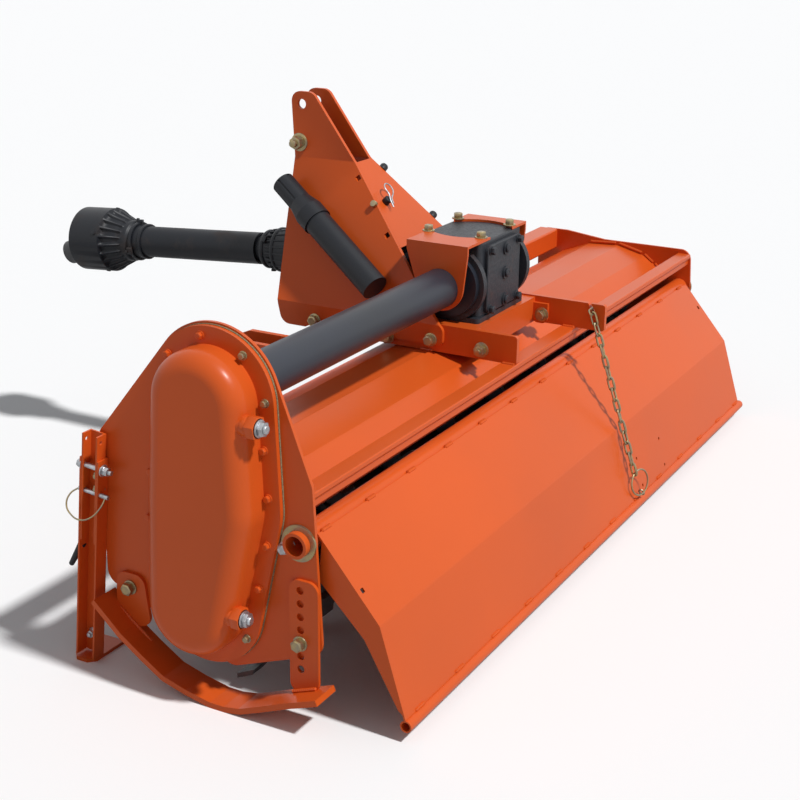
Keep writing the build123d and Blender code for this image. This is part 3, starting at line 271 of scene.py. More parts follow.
def make_groups():
    """Effects shared by the finishes: a sprayed film, a cast skin and settled dust."""
    film, source, out = new_group(
        "sprayed_film",
        (("Vector", "NodeSocketVector", None), ("Ripple", "NodeSocketFloat", 0.1)),
        (("Cloud", "NodeSocketFloat"), ("Normal", "NodeSocketVector")))
    cloud = noise(film, source.outputs["Vector"], 2.6, 4)
    film.links.new(fitted(film, cloud.outputs["Fac"], 0.3, 0.7, 0, 1), out.inputs["Cloud"])
    peel = noise(film, source.outputs["Vector"], 260, 2)
    bump = film.nodes.new("ShaderNodeBump")
    bump.inputs["Distance"].default_value = 0.0006
    film.links.new(source.outputs["Ripple"], bump.inputs["Strength"])
    film.links.new(peel.outputs["Fac"], bump.inputs["Height"])
    film.links.new(bump.outputs["Normal"], out.inputs["Normal"])

    skin, source, out = new_group(
        "cast_skin",
        (("Vector", "NodeSocketVector", None), ("Grain", "NodeSocketFloat", 300.0),
         ("Relief", "NodeSocketFloat", 0.4)),
        (("Pits", "NodeSocketFloat"), ("Normal", "NodeSocketVector")))
    grain = noise(skin, source.outputs["Vector"], 300, 5, 0.6)
    skin.links.new(source.outputs["Grain"], grain.inputs["Scale"])
    skin.links.new(grain.outputs["Fac"], out.inputs["Pits"])
    bump = skin.nodes.new("ShaderNodeBump")
    bump.inputs["Distance"].default_value = 0.0015
    skin.links.new(source.outputs["Relief"], bump.inputs["Strength"])
    skin.links.new(grain.outputs["Fac"], bump.inputs["Height"])
    skin.links.new(bump.outputs["Normal"], out.inputs["Normal"])

    dust, source, out = new_group(
        "settled_dust",
        (("Vector", "NodeSocketVector", None), ("Scale", "NodeSocketFloat", 12.0),
         ("Cover", "NodeSocketFloat", 0.5)),
        (("Mask", "NodeSocketFloat"),))
    patches = noise(dust, source.outputs["Vector"], 12, 6, 0.62)
    dust.links.new(source.outputs["Scale"], patches.inputs["Scale"])
    grown = dust.nodes.new("ShaderNodeMath")
    grown.operation = "ADD"
    dust.links.new(patches.outputs["Fac"], grown.inputs[0])
    dust.links.new(source.outputs["Cover"], grown.inputs[1])
    dust.links.new(fitted(dust, grown.outputs[0], 1.0, 1.25, 0, 1), out.inputs["Mask"])


def new_material(name, roughness, metallic=0.0, coat=0.0):
    """A material with its Principled shader and its object coordinates."""
    material = bpy.data.materials.new("rotavator_" + name)
    material.use_nodes = True
    tree = material.node_tree
    shader = tree.nodes["Principled BSDF"]
    shader.inputs["Roughness"].default_value = roughness
    shader.inputs["Metallic"].default_value = metallic
    shader.inputs["Coat Weight"].default_value = coat
    place = tree.nodes.new("ShaderNodeTexCoord").outputs["Object"]
    return material, tree, shader, place


def connect(tree, shader, **sockets):
    """Link sockets to the shader's inputs, an underscore standing for the space in a name."""
    for label, socket in sockets.items():
        tree.links.new(socket, shader.inputs[label.replace("_", " ")])


def use_group(tree, name, place, **values):
    node = tree.nodes.new("ShaderNodeGroup")
    node.node_tree = bpy.data.node_groups[name]
    tree.links.new(place, node.inputs["Vector"])
    for label, value in values.items():
        node.inputs[label].default_value = value
    return node


def orange_paint():
    material, tree, shader, place = new_material("orange_paint", 0.34, coat=0.05)
    shader.inputs["Specular IOR Level"].default_value = 0.24
    colour = Vector(settings("finish").paint)
    film = use_group(tree, "sprayed_film", place, Ripple=0.12)
    shaded = mixed(tree, film.outputs["Cloud"], colour * 0.94, colour * 1.05)
    dust = use_group(tree, "settled_dust", place, Scale=7.0, Cover=0.36)
    faded = mixed(tree, fitted(tree, dust.outputs["Mask"], 0, 1, 0, 0.05), shaded, (0.62, 0.36, 0.24))
    connect(tree, shader, Base_Color=faded, Normal=film.outputs["Normal"],
            Roughness=fitted(tree, film.outputs["Cloud"], 0, 1, 0.30, 0.40))
    shader.inputs["Coat Roughness"].default_value = 0.18
    return material


def black_paint():
    material, tree, shader, place = new_material("black_paint", 0.42)
    colour = Vector(settings("finish").black)
    film = use_group(tree, "sprayed_film", place, Ripple=0.10)
    # painted reflection: a bluish tint mixed into the black base colour in cloudy patches stands in for the
    # sky's sheen on the paint
    painted_sky_sheen = (0.022, 0.028, 0.046)
    connect(tree, shader, Base_Color=mixed(tree, film.outputs["Cloud"], colour, painted_sky_sheen),
            Roughness=fitted(tree, film.outputs["Cloud"], 0, 1, 0.36, 0.48), Normal=film.outputs["Normal"])
    return material


def black_casting():
    material, tree, shader, place = new_material("black_casting", 0.5)
    colour = Vector(settings("finish").black)
    skin = use_group(tree, "cast_skin", place, Grain=170.0, Relief=0.35)
    rust = use_group(tree, "settled_dust", place, Scale=22.0, Cover=0.42)
    body = mixed(tree, skin.outputs["Pits"], colour * 0.7, colour * 1.9)
    stained = mixed(tree, fitted(tree, rust.outputs["Mask"], 0, 1, 0, 0.35), body, (0.16, 0.07, 0.035))
    connect(tree, shader, Base_Color=stained, Normal=skin.outputs["Normal"],
            Roughness=fitted(tree, skin.outputs["Pits"], 0.3, 0.7, 0.58, 0.40))
    return material


def black_plastic():
    material, tree, shader, place = new_material("black_plastic", 0.5)
    shader.inputs["Specular IOR Level"].default_value = 0.3
    colour = Vector(settings("finish").black)
    skin = use_group(tree, "cast_skin", place, Grain=420.0, Relief=0.12)
    dust = use_group(tree, "settled_dust", place, Scale=16.0, Cover=0.44)
    body = mixed(tree, skin.outputs["Pits"], colour * 0.6, colour * 1.2)
    dusty = mixed(tree, fitted(tree, dust.outputs["Mask"], 0, 1, 0, 0.16), body, (0.20, 0.13, 0.09))
    connect(tree, shader, Base_Color=dusty, Normal=skin.outputs["Normal"],
            Roughness=fitted(tree, dust.outputs["Mask"], 0, 1, 0.44, 0.75))
    return material


def plated(name, colour, tint):
    """Zinc plate, with the cloudy colour of its passivation."""
    material, tree, shader, place = new_material(name, 0.34, metallic=0.85)
    cloud = noise(tree, place, 90, 4)
    mask = fitted(tree, cloud.outputs["Fac"], 0.35, 0.65, 0, 1)
    skin = use_group(tree, "cast_skin", place, Grain=700.0, Relief=0.08)
    connect(tree, shader, Base_Color=mixed(tree, mask, colour, tint), Normal=skin.outputs["Normal"],
            Roughness=fitted(tree, cloud.outputs["Fac"], 0.3, 0.7, 0.26, 0.44))
    return material


def yellow_zinc():
    colour = Vector(settings("finish").yellow_zinc)
    return plated("yellow_zinc", colour, (0.30, 0.26, 0.19))


def bright_zinc():
    colour = Vector(settings("finish").bright_zinc)
    return plated("bright_zinc", colour, colour * 0.62)


def machined_steel():
    material, tree, shader, place = new_material("machined_steel", 0.32, metallic=0.9)
    turning = noise(tree, place, 55, 3)
    turned = mixed(tree, turning.outputs["Fac"], (0.36, 0.36, 0.37), (0.58, 0.58, 0.59))
    connect(tree, shader, Base_Color=turned,
            Roughness=fitted(tree, turning.outputs["Fac"], 0.3, 0.7, 0.25, 0.45))
    return material


def pressed_gasket():
    material, tree, shader, place = new_material("pressed_gasket", 0.85)
    fibre = noise(tree, place, 900, 3, 0.7)
    mask = fitted(tree, fibre.outputs["Fac"], 0.4, 0.62, 0, 1)
    connect(tree, shader, Base_Color=mixed(tree, mask, (0.06, 0.05, 0.035), (0.42, 0.36, 0.20)))
    return material


def tine_paint():
    material, tree, shader, place = new_material("tine_paint", 0.5, metallic=0.2)
    skin = use_group(tree, "cast_skin", place, Grain=240.0, Relief=0.25)
    scuffed = mixed(tree, skin.outputs["Pits"], (0.03, 0.03, 0.033), (0.10, 0.10, 0.105))
    connect(tree, shader, Base_Color=scuffed, Normal=skin.outputs["Normal"])
    return material


FINISHES = (
    orange_paint, black_paint, black_casting, black_plastic, yellow_zinc, bright_zinc, machined_steel,
    pressed_gasket, tine_paint,
)
NODE_FINISH = {
    "orange_paint": "orange_paint", "black_paint": "black_paint", "black_casting": "black_casting",
    "black_plastic": "black_plastic", "zinc": "yellow_zinc", "steel": "machined_steel",
    "gasket": "pressed_gasket", "tine_steel": "tine_paint",
}
NODE_SPECIAL = {"pto_yoke": "tine_paint", "driveline_inner": "black_plastic"}


# ---- shapes
def ease_edges(bm, edges, offset, segments=2):
    """Round some edges; the offset is in metres."""
    bmesh.ops.bevel(bm, geom=edges, offset=offset, offset_type="OFFSET", segments=segments, profile=0.5,
                    affect="EDGES", material=-1)


def prism(bm, placement, radius, low, high, sides=24, ease=0.0, top_radius=None):
    """A prism or cone along a placement's Z, sizes in mm, with its end edges eased."""
    made = bmesh.ops.create_cone(
        bm, cap_ends=True, cap_tris=False, segments=sides, radius1=radius * MM,
        radius2=(radius if top_radius is None else top_radius) * MM, depth=(high - low) * MM,
        matrix=placement @ Matrix.Translation((0, 0, (low + high) / 2 * MM)))
    if ease:
        rims = {e for v in made["verts"] for e in v.link_edges
                if any(len(f.verts) == sides for f in e.link_faces)}
        ease_edges(bm, list(rims), ease * MM)


def lathe(bm, placement, profile, steps=32):
    """Turn a closed profile of (radius, height) in mm round a placement's Z."""
    verts = [bm.verts.new(placement @ Vector((r * MM, 0, z * MM))) for r, z in profile]
    edges = [bm.edges.new((a, b)) for a, b in zip(verts, verts[1:] + verts[:1])]
    axis = placement.to_3x3() @ UP
    bmesh.ops.spin(bm, geom=verts + edges, cent=placement.translation, axis=axis, angle=2 * pi,
                   steps=steps, use_merge=True)


def block(bm, placement, length, width, height, ease):
    """A box on a placement, its foot at the placement's origin, with eased edges; sizes in mm."""
    size = Matrix.Diagonal((length * MM, width * MM, height * MM, 1))
    middle = placement @ Matrix.Translation((0, 0, height / 2 * MM))
    made = bmesh.ops.create_cube(bm, size=1, matrix=middle @ size)
    ease_edges(bm, list({e for v in made["verts"] for e in v.link_edges}), ease * MM)


def wire(bm, places, radius, closed=False, swells=None):
    """Round wire through some places, smooth, or straight where each has its own swell; radius in mm."""
    curve = bpy.data.curves.new("wire", "CURVE")
    curve.dimensions = "3D"
    curve.bevel_depth = radius * MM
    curve.bevel_resolution = 1 if swells else 2
    curve.resolution_u = 6
    curve.use_fill_caps = True
    if swells:
        line = curve.splines.new("POLY")
        line.points.add(len(places) - 1)
        for point, place, swell in zip(line.points, places, swells):
            point.co = (*place, 1)
            point.radius = swell
    else:
        line = curve.splines.new("BEZIER")
        line.bezier_points.add(len(places) - 1)
        for point, place in zip(line.bezier_points, places):
            point.co = place
            point.handle_left_type = point.handle_right_type = "AUTO"
    line.use_cyclic_u = closed
    holder = bpy.data.objects.new("wire", curve)
    mesh = bpy.data.meshes.new_from_object(holder)
    bm.from_mesh(mesh)
    bpy.data.objects.remove(holder)
    bpy.data.curves.remove(curve)
    bpy.data.meshes.remove(mesh)


def ring_of(bm, centre, first, second, radius, wire_radius, steps=48):
    """A closed ring of round wire about a centre, in the plane of two unit directions; sizes in mm."""
    turns = [2 * pi * step / steps for step in range(steps)]
    places = [centre + (first * cos(t) + second * sin(t)) * radius * MM for t in turns]
    wire(bm, places, wire_radius, True, [1] * steps)


def link_of(bm, centre, run, side, inner, width, wire_radius):
    """A welded chain link about a centre, its length along run and its width along side; sizes in mm."""
    bend = width / 2 - wire_radius
    straight = inner / 2 + wire_radius - bend
    places, swells = [], []
    for end in (1, -1):
        places.append(centre + (side * bend * end) * MM)
        swells.append(1.22 if end > 0 else 1)
        for step in range(9):
            t = pi * step / 8
            places.append(centre + (side * bend * cos(t) * end + run * (straight + bend * sin(t)) * end) * MM)
            swells.append(1)
    wire(bm, places, wire_radius, True, swells)


def hex_bolt(bm, at, axis, flats, washer=1.35, turn=0.3):
    """A hexagon head on a washer, seated at a place; flats in mm, the washer's radius in the head's."""
    seat = facing(at, axis, turn)
    prism(bm, seat, flats * 0.58 * washer, -0.2, flats * 0.14, 28, flats * 0.03)
    prism(bm, seat, flats * 0.577, flats * 0.14, flats * 0.72, 6, flats * 0.04)
    prism(bm, seat, flats * 0.47, flats * 0.70, flats * 0.76, 20, 0, flats * 0.40)


def nut_on_stud(bm, at, axis, flats, stub=0.45, turn=0.1):
    """A nut on its washer with the bolt's end standing out of it."""
    seat = facing(at, axis, turn)
    prism(bm, seat, flats * 0.78, -0.2, flats * 0.14, 28, flats * 0.03)
    prism(bm, seat, flats * 0.577, flats * 0.14, flats * 0.86, 6, flats * 0.05)
    prism(bm, seat, flats * 0.32, flats * 0.86, flats * (0.86 + stub), 16, flats * 0.03)


def cap_screw(bm, at, axis, radius, height):
    """A socket head, seated at a place, with a raised rim round its socket; sizes in mm."""
    seat = facing(at, axis)
    prism(bm, seat, radius, -0.2, height, 24, radius * 0.1)
    foot, top = height, height + 0.5
    rim = [(radius * 0.55, foot), (radius * 0.80, foot), (radius * 0.78, top), (radius * 0.57, top)]
    lathe(bm, seat, rim, 6)


def bead(bm, start, end, radius):
    """A weld bead along a straight seam, with its ripples 4 mm apart; the radius is in mm."""
    run = end - start
    count = max(4, 2 * round(run.length / (4 * MM)))
    places = [start + run * (index / count) for index in range(count + 1)]
    swells = [0.3 if index in (0, count) else 1.12 if index % 2 else 0.88 for index in range(count + 1)]
    wire(bm, places, radius, False, swells)


def merged_copy(node):
    """The mesh of a node of the frame as a bmesh, with its triangles joined."""
    bm = bmesh.new()
    bm.from_mesh(frame["nodes"][node].data)
    bmesh.ops.remove_doubles(bm, verts=bm.verts, dist=1e-5)
    return bm


def object_of(bm, name):
    """Make a bmesh an object of the scene, at the origin, and free it."""
    mesh = bpy.data.meshes.new(name)
    bm.to_mesh(mesh)
    bm.free()
    made = bpy.data.objects.new(name, mesh)
    bpy.context.scene.collection.objects.link(made)
    return made


def shade(mesh, sharp):
    """Shade a mesh smooth, but for edges that turn more than an angle in degrees."""
    mesh.polygons.foreach_set("use_smooth", [True] * len(mesh.polygons))
    mesh.set_sharp_from_angle(angle=radians(sharp))


def finish_piece(bm, name, body, finish):
    """Make a bmesh an object with its finish, that rides on a CAD body."""
    bmesh.ops.remove_doubles(bm, verts=bm.verts, dist=1e-6)
    bmesh.ops.recalc_face_normals(bm, faces=bm.faces)
    piece = object_of(bm, name)
    shade(piece.data, 32)
    piece.data.materials.append(bpy.data.materials["rotavator_" + finish])
    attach(piece, body)
    return piece


# ---- operators
class ROTAVATOR_OT_finish_nodes(bpy.types.Operator):
    """Make the finishes and put them on the frame's own nodes"""
    bl_idname = "rotavator.finish_nodes"
    bl_label = "Finish the frame"

    def execute(self, context):
        make_groups()
        for make in FINISHES:
            make()
        slots = {row["node"]: row["material_slot"] for row in frame["record"]["subparts"]}
        for name, node in frame["nodes"].items():
            node.data.materials.clear()
            finish = NODE_SPECIAL.get(name, NODE_FINISH[slots[name]])
            node.data.materials.append(bpy.data.materials["rotavator_" + finish])
        return {"FINISHED"}


class ROTAVATOR_OT_case_fasteners(bpy.types.Operator):
    """Bolts round the chain case flange, with its two plugs on their collars"""
    bl_idname = "rotavator.case_fasteners"
    bl_label = "Chain case fasteners"

    def execute(self, context):
        flats = settings("hardware").case_bolt / MM
        crown_y, crown_z = CASE_CROWN
        reach = CASE_CROWN_R - 15
        turns = [radians(turn) for turn in (36, 80, 128, 175)]
        places = [(crown_y + reach * cos(turn), crown_z + reach * sin(turn)) for turn in turns]
        run = (ROTOR[0] - crown_y) / (crown_z - ROTOR[1])
        for y, z in CASE_REAR_BOLTS:
            middle = crown_y + (crown_z - z) * run
            places += [(y, z), (2 * middle - y, z)]
        painted, bare = bmesh.new(), bmesh.new()
        for index, (y, z) in enumerate(places):
            bm = bare if index in PLATED else painted
            hex_bolt(bm, spot(CASE_FACE, y, z), LEFT, flats, 1.25, index * 0.7)
        finish_piece(painted, "case_bolts", "frame", "orange_paint")
        finish_piece(bare, "case_plated_bolts", "frame", "yellow_zinc")

        collars, plugs = bmesh.new(), bmesh.new()
        for y, z in PLUGS:
            seat = facing(spot(CASE_FACE - PLUG_OUT, y, z), REARWARD, 0.25)
            prism(collars, seat, 19, -16, 0, 6, 1.2)
            prism(collars, seat, 16, -26, -16, 28, 1.0)
            prism(plugs, seat, 14, 0, 3, 32, 0.8)
            prism(plugs, seat, 12, 3, 11, 6, 0.8)
            prism(plugs, seat, 8, 11, 15, 24, 1.0, 6.5)
        finish_piece(collars, "case_plug_collars", "frame", "orange_paint")
        finish_piece(plugs, "case_plugs", "frame", "bright_zinc")
        return {"FINISHED"}


class ROTAVATOR_OT_gearbox_fasteners(bpy.types.Operator):
    """Bolts of the gearbox's top, rear cover and front, and its plugs"""
    bl_idname = "rotavator.gearbox_fasteners"
    bl_label = "Gearbox fasteners"

    def execute(self, context):
        top_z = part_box("shield_left")[1].z / MM
        cover_y = (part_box("gearbox_cover")[0].y - REAR_EDGE) / MM + 3
        bm = bmesh.new()
        for x, y in GEARBOX_TOP_BOLTS:
            hex_bolt(bm, spot(x, y, top_z), UP, 16, 1.35, x * 0.01 + y * 0.02)
        finish_piece(bm, "gearbox_top_bolts", "frame", "yellow_zinc")

        bm = bmesh.new()
        for x, z in GEARBOX_COVER_BOLTS:
            hex_bolt(bm, spot(x, cover_y, z), REARWARD, 14, 1.2, x + z)
        for x, z in GEARBOX_PLUGS:
            cap_screw(bm, spot(x, cover_y - 3, z), REARWARD, 8.5, 4)
        for x, z in GEARBOX_FRONT_BOLTS:
            hex_bolt(bm, spot(x, GEARBOX_FRONT_Y, z), FORWARD, 14, 1.2, x)
        finish_piece(bm, "gearbox_cover_bolts", "frame", "black_casting")
        return {"FINISHED"}


class ROTAVATOR_OT_deck_bolts(bpy.types.Operator):
    """Bolts that hold the gearbox mount and the mast to the bars"""
    bl_idname = "rotavator.deck_bolts"
    bl_label = "Deck bolts"

    def execute(self, context):
        flats = settings("hardware").frame_bolt / MM
        bm = bmesh.new()
        for side in (-1, 1):
            out = RIGHT * side
            for y, z, flange, turn in DECK_BOLTS:
                hex_bolt(bm, spot(side * (BAR_X + 8), y, z), out, flats, 1.2, turn)
                nut_on_stud(bm, spot(side * (BAR_X - flange), y, z), -out, flats)
            nut_on_stud(bm, spot(side * BAR_X, *DECK_NUT), out, flats, 0.25)
            hex_bolt(bm, spot(side * (BAR_X - 18), *DECK_NUT), -out, flats, 1.35, 0.5)
        finish_piece(bm, "deck_bolts", "frame", "yellow_zinc")
        return {"FINISHED"}


class ROTAVATOR_OT_mast_plates(bpy.types.Operator):
    """The mast plates with their corners rounded"""
    bl_idname = "rotavator.mast_plates"
    bl_label = "Mast plates"

    def execute(self, context):
        for name in ("mast_left", "mast_right"):
            bm = merged_copy(name)
            bmesh.ops.dissolve_limit(bm, angle_limit=radians(0.5), verts=bm.verts, edges=bm.edges)
            for y, z, radius in MAST_CORNERS:
                corner = spot(0, y, z)
                edge = next(e for e in bm.edges if e.calc_length() < 14 * MM
                            and all(hypot(v.co.y - corner.y, v.co.z - corner.z) < MM for v in e.verts))
                reach = radius * MM * tan(edge.calc_face_angle() / 2)
                ease_edges(bm, [edge], reach, 7)
            plate = finish_piece(bm, name + "_plate", "frame", "orange_paint")
            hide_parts(name)
        return {"FINISHED"}


class ROTAVATOR_OT_mast_hardware(bpy.types.Operator):
    """Through bolt, capped bolts, pin and clip of the mast"""
    bl_idname = "rotavator.mast_hardware"
    bl_label = "Mast hardware"

    def execute(self, context):
        bm = bmesh.new()
        left_end, right_end = spot(-MAST_OUTER, *MAST_BOLT), spot(MAST_OUTER, *MAST_BOLT)
        nut_on_stud(bm, left_end, LEFT, 24, 0.4)
        hex_bolt(bm, right_end, RIGHT, 24, 1.3)
        prism(bm, facing(left_end, RIGHT), 8, 8.5, 2 * MAST_OUTER - 8.5, 20)
        out = Vector((-cos(MAST_LEAN), 0, sin(MAST_LEAN)))
        peg_y, peg_z = MAST_PEG
        prism(bm, facing(spot(-mast_face(peg_z), peg_y, peg_z), out), 6.5, -1, 9, 24, 1.2)
        finish_piece(bm, "mast_through_bolt", "frame", "yellow_zinc")

        bm = bmesh.new()
        out = Vector((cos(MAST_LEAN), 0, sin(MAST_LEAN)))
        for y, z in MAST_HOLES:
            seat = facing(spot(mast_face(z), y, z), out)
            prism(bm, seat, 11, -0.3, 2, 28, 0.5)
            prism(bm, seat, 8.5, 2, 17, 24, 1.8)
        prism(bm, facing(spot(*CLIP_PEG), PANEL_OUT), 8, -6, 9, 24, 1.5)
        finish_piece(bm, "mast_black_caps", "frame", "black_plastic")

        bm = bmesh.new()
        heel = spot(*CLIP_PEG) + PANEL_OUT * 7 * MM
        bends = (                    # up the panel, sideways and off it
            (-20, -4, 1), (-4, 0, 3), (8, 6, 5), (22, 6, 6), (30, 14, 6),
            (28, 25, 6), (16, 29, 5), (6, 21, 4), (-2, 8, 3), (-14, 2, 2),
        )
        places = [heel + (PANEL_UP * up + RIGHT * side + PANEL_OUT * off) * MM for up, side, off in bends]
        wire(bm, places, 1.5)
        finish_piece(bm, "mast_clip", "frame", "bright_zinc")
        return {"FINISHED"}


class ROTAVATOR_OT_hitch_pins(bpy.types.Operator):
    """Linch pins and washers on the free ends of the lower hitch pins"""
    bl_idname = "rotavator.hitch_pins"
    bl_label = "Hitch pins"

    def execute(self, context):
        bm = bmesh.new()
        for side in (-1, 1):
            across = RIGHT * side
            reach = HITCH_GAP + HITCH_PLATE
            prism(bm, facing(spot(side * (HITCH_X - reach - 8), *HITCH_PIN), -across), 15, -4, 0, 32, 1.2)
            place = spot(side * (HITCH_X + reach + 34), *HITCH_PIN)
            prism(bm, facing(place, UP), 4, -18, 16, 20, 0.8)
            prism(bm, facing(place, UP), 6.5, 11, 19, 24, 1.5)
            bends = ((17, 0, 5), (16, 2, 17), (2, 4, 23), (-12, 3, 18), (-16, 0, 4))
            ring = [place + (UP * up + across * out + FORWARD * ahead) * MM for up, out, ahead in bends]
            wire(bm, ring, 1.5)
        finish_piece(bm, "linch_pins", "frame", "yellow_zinc")
        return {"FINISHED"}


class ROTAVATOR_OT_skid_bolts(bpy.types.Operator):
    """Bolts of the skid shoes and of the hinge retainers"""
    bl_idname = "rotavator.skid_bolts"
    bl_label = "Skid bolts"

    def execute(self, context):
        flats = settings("hardware").frame_bolt / MM
        bolts, retainers = bmesh.new(), bmesh.new()
        for side in (-1, 1):
            out = RIGHT * side
            for y, z, turn in SKID_BOLTS:
                hex_bolt(bolts, spot(side * (SIDE + PLATE), y, z), out, flats, 1.15, turn)
                nut_on_stud(bolts, spot(side * (SIDE - PLATE), y, z), -out, flats)
            hex_bolt(retainers, spot(side * (SIDE + 4), *RETAINER_BOLT), out, 15, 1.2, 0.8)
            nut_on_stud(retainers, spot(side * (SIDE - PLATE), *RETAINER_BOLT), -out, 15)
        finish_piece(bolts, "skid_bolts", "frame", "yellow_zinc")
        finish_piece(retainers, "retainer_bolts", "frame", "bright_zinc")
        return {"FINISHED"}


class ROTAVATOR_OT_stand_fittings(bpy.types.Operator):
    """Bolt, locking pin with its ring, nuts and rubber peg of the parking stand"""
    bl_idname = "rotavator.stand_fittings"
    bl_label = "Stand fittings"

    def execute(self, context):
        back = Vector((0, -cos(RAKE), -sin(RAKE)))
        bm = bmesh.new()
        bolt, pin = spot(STAND_X, *STAND_BOLT), spot(STAND_X, *STAND_PIN)
        for middle, radius in ((bolt, 4.5), (pin, 4)):
            prism(bm, facing(middle, back), radius, -STAND_WIDTH / 2 - 7, STAND_WIDTH / 2 + 9, 20, 0.8)
        nut_on_stud(bm, bolt + back * 20.2 * MM, back, 13, 0.5)
        hex_bolt(bm, bolt - back * 19.8 * MM, -back, 13, 1.2)
        finish_piece(bm, "stand_pins", "stand", "bright_zinc")

        bm = bmesh.new()
        bends = (                    # out to the left, Y and Z
            (0, 433, 315), (8, 446, 304), (16, 448, 288), (22, 434, 275),
            (24, 414, 271), (20, 396, 277), (10, 382, 294), (1, 378, 309),
        )
        wire(bm, [spot(STAND_X - out, y, z) for out, y, z in bends], 1.4)
        finish_piece(bm, "stand_pin_ring", "stand", "yellow_zinc")

        bm = bmesh.new()
        for y, z in STAND_POST_NUTS:
            nut_on_stud(bm, spot(-SIDE - 7, y, z), LEFT, 13, 0.3, z)
        finish_piece(bm, "stand_post_nuts", "frame", "yellow_zinc")

        bm = bmesh.new()
        nut_on_stud(bm, spot(-SIDE - 3.5, *STAND_FOOT_BOLT), LEFT, 12, 0.3)
        finish_piece(bm, "stand_foot_bolt", "stand", "bright_zinc")

        bm = bmesh.new()
        start, end = (spot(*place) for place in STAND_PEG)
        handle = facing(start, end - start)
        prism(bm, handle, 7, 0, (end - start).length / MM, 24, 1.5, 4.5)
        finish_piece(bm, "stand_peg", "stand", "black_plastic")
        return {"FINISHED"}


def round_rotor(radius, turn):
    """Y and Z of a place round the rotor's axis; the turn is in degrees."""
    return ROTOR[0] + radius * cos(radians(turn)), ROTOR[1] + radius * sin(radians(turn))


class ROTAVATOR_OT_rotor_bolts(bpy.types.Operator):
    """Bolts of the tines, the rotor's bearings and the right hub"""
    bl_idname = "rotavator.rotor_bolts"
    bl_label = "Rotor bolts"

    def execute(self, context):
        last = SIDE - PLATE - DISC_INSET
        first = -last
        bm = bmesh.new()
        for index in range(DISCS):
            x = first + (last - first) * index / (DISCS - 1)
            for turn in range(TINES):
                angle = radians(TINE_TURN + turn * 360 / TINES + index * 360 / TINES / DISCS)
                side = 1 if turn % 2 else -1
                for radius, aside in TINE_BOLTS:
                    y = ROTOR[0] + radius * cos(angle) - aside * sin(angle)
                    z = ROTOR[1] + radius * sin(angle) + aside * cos(angle)
                    for face, out in ((x + side * 13, RIGHT * side), (x - side * 5, RIGHT * -side)):
                        prism(bm, facing(spot(face, y, z), out, angle), 8.5, -0.3, 7.5, 6)
        finish_piece(bm, "tine_bolts", "rotor", "tine_paint")

        bm = bmesh.new()
        for side in (-1, 1):
            for turn in (45, 135, 225, 315):
                y, z = round_rotor(BEARING_BOLT_R, turn)
                hex_bolt(bm, spot(side * (SIDE - PLATE - 22), y, z), RIGHT * -side, 12, 1.2, turn)
        finish_piece(bm, "bearing_bolts", "frame", "black_casting")

        bm = bmesh.new()
        for turn in range(0, 360, 60):
            hex_bolt(bm, spot(SIDE + 12, *round_rotor(HUB_BOLT_R, turn)), RIGHT, 13, 1.2, turn)
        finish_piece(bm, "hub_bolts", "frame", "yellow_zinc")
        return {"FINISHED"}


class ROTAVATOR_OT_chain(bpy.types.Operator):
    """The tailgate's lift chain of round wire, its anchor link and its ring"""
    bl_idname = "rotavator.chain"
    bl_label = "Lift chain"

    def execute(self, context):
        run = Vector((0, -sin(CHAIN_LEAN), -cos(CHAIN_LEAN)))
        out = Vector((0, -cos(CHAIN_LEAN), sin(CHAIN_LEAN)))
        pivot = spot(*CHAIN_PIVOT)
        centre = pivot + run * 9.0 * MM
        bm = bmesh.new()
        for index in range(LINKS):
            sway = 0.22 * sin(index * 1.9)
            level, aside = (RIGHT, out) if index % 2 else (out, -RIGHT)
            side = level * cos(sway) + aside * sin(sway)
            link_of(bm, centre, run, side, LINK_INNER, LINK_WIDTH, LINK_WIRE)
            last = centre
            centre = centre + run * LINK_PITCH * MM
        chain = finish_piece(bm, "lift_chain_links", "chain", "yellow_zinc")
        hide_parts("lift_chain")

        bm = bmesh.new()
        slot_up = Vector((0, sin(SLOT_LEAN), cos(SLOT_LEAN)))
        anchor_middle = spot(BAR_X + 0.3 - 13.9, *CHAIN_PIVOT[1:]) + slot_up * 5.35 * MM
        link_of(bm, anchor_middle, RIGHT, slot_up, 27.8, LINK_WIDTH, LINK_WIRE)
        anchor = finish_piece(bm, "anchor_link_wire", "frame", "yellow_zinc")
        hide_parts("anchor_link")

        bm = bmesh.new()
        hang = run * cos(RING_TILT) + RIGHT * sin(RING_TILT)
        level = hang.cross(out).normalized()
        face = (level * cos(RING_TURN) - hang.cross(level) * sin(RING_TURN)).normalized()
        top = last + run * 9.4 * MM
        ring_of(bm, top + hang * RING_R * MM, hang, face, RING_R, 1.9)
        low = top + (hang * 2 * RING_R + run * 2 - RIGHT * 2 - out * 7) * MM
        link_of(bm, low, (RIGHT * 0.5 + run * 0.86).normalized(), out, 10, 12, 2)
        ring = finish_piece(bm, "chain_ring_wire", "chain", "yellow_zinc")
        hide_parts("chain_ring")
        return {"FINISHED"}


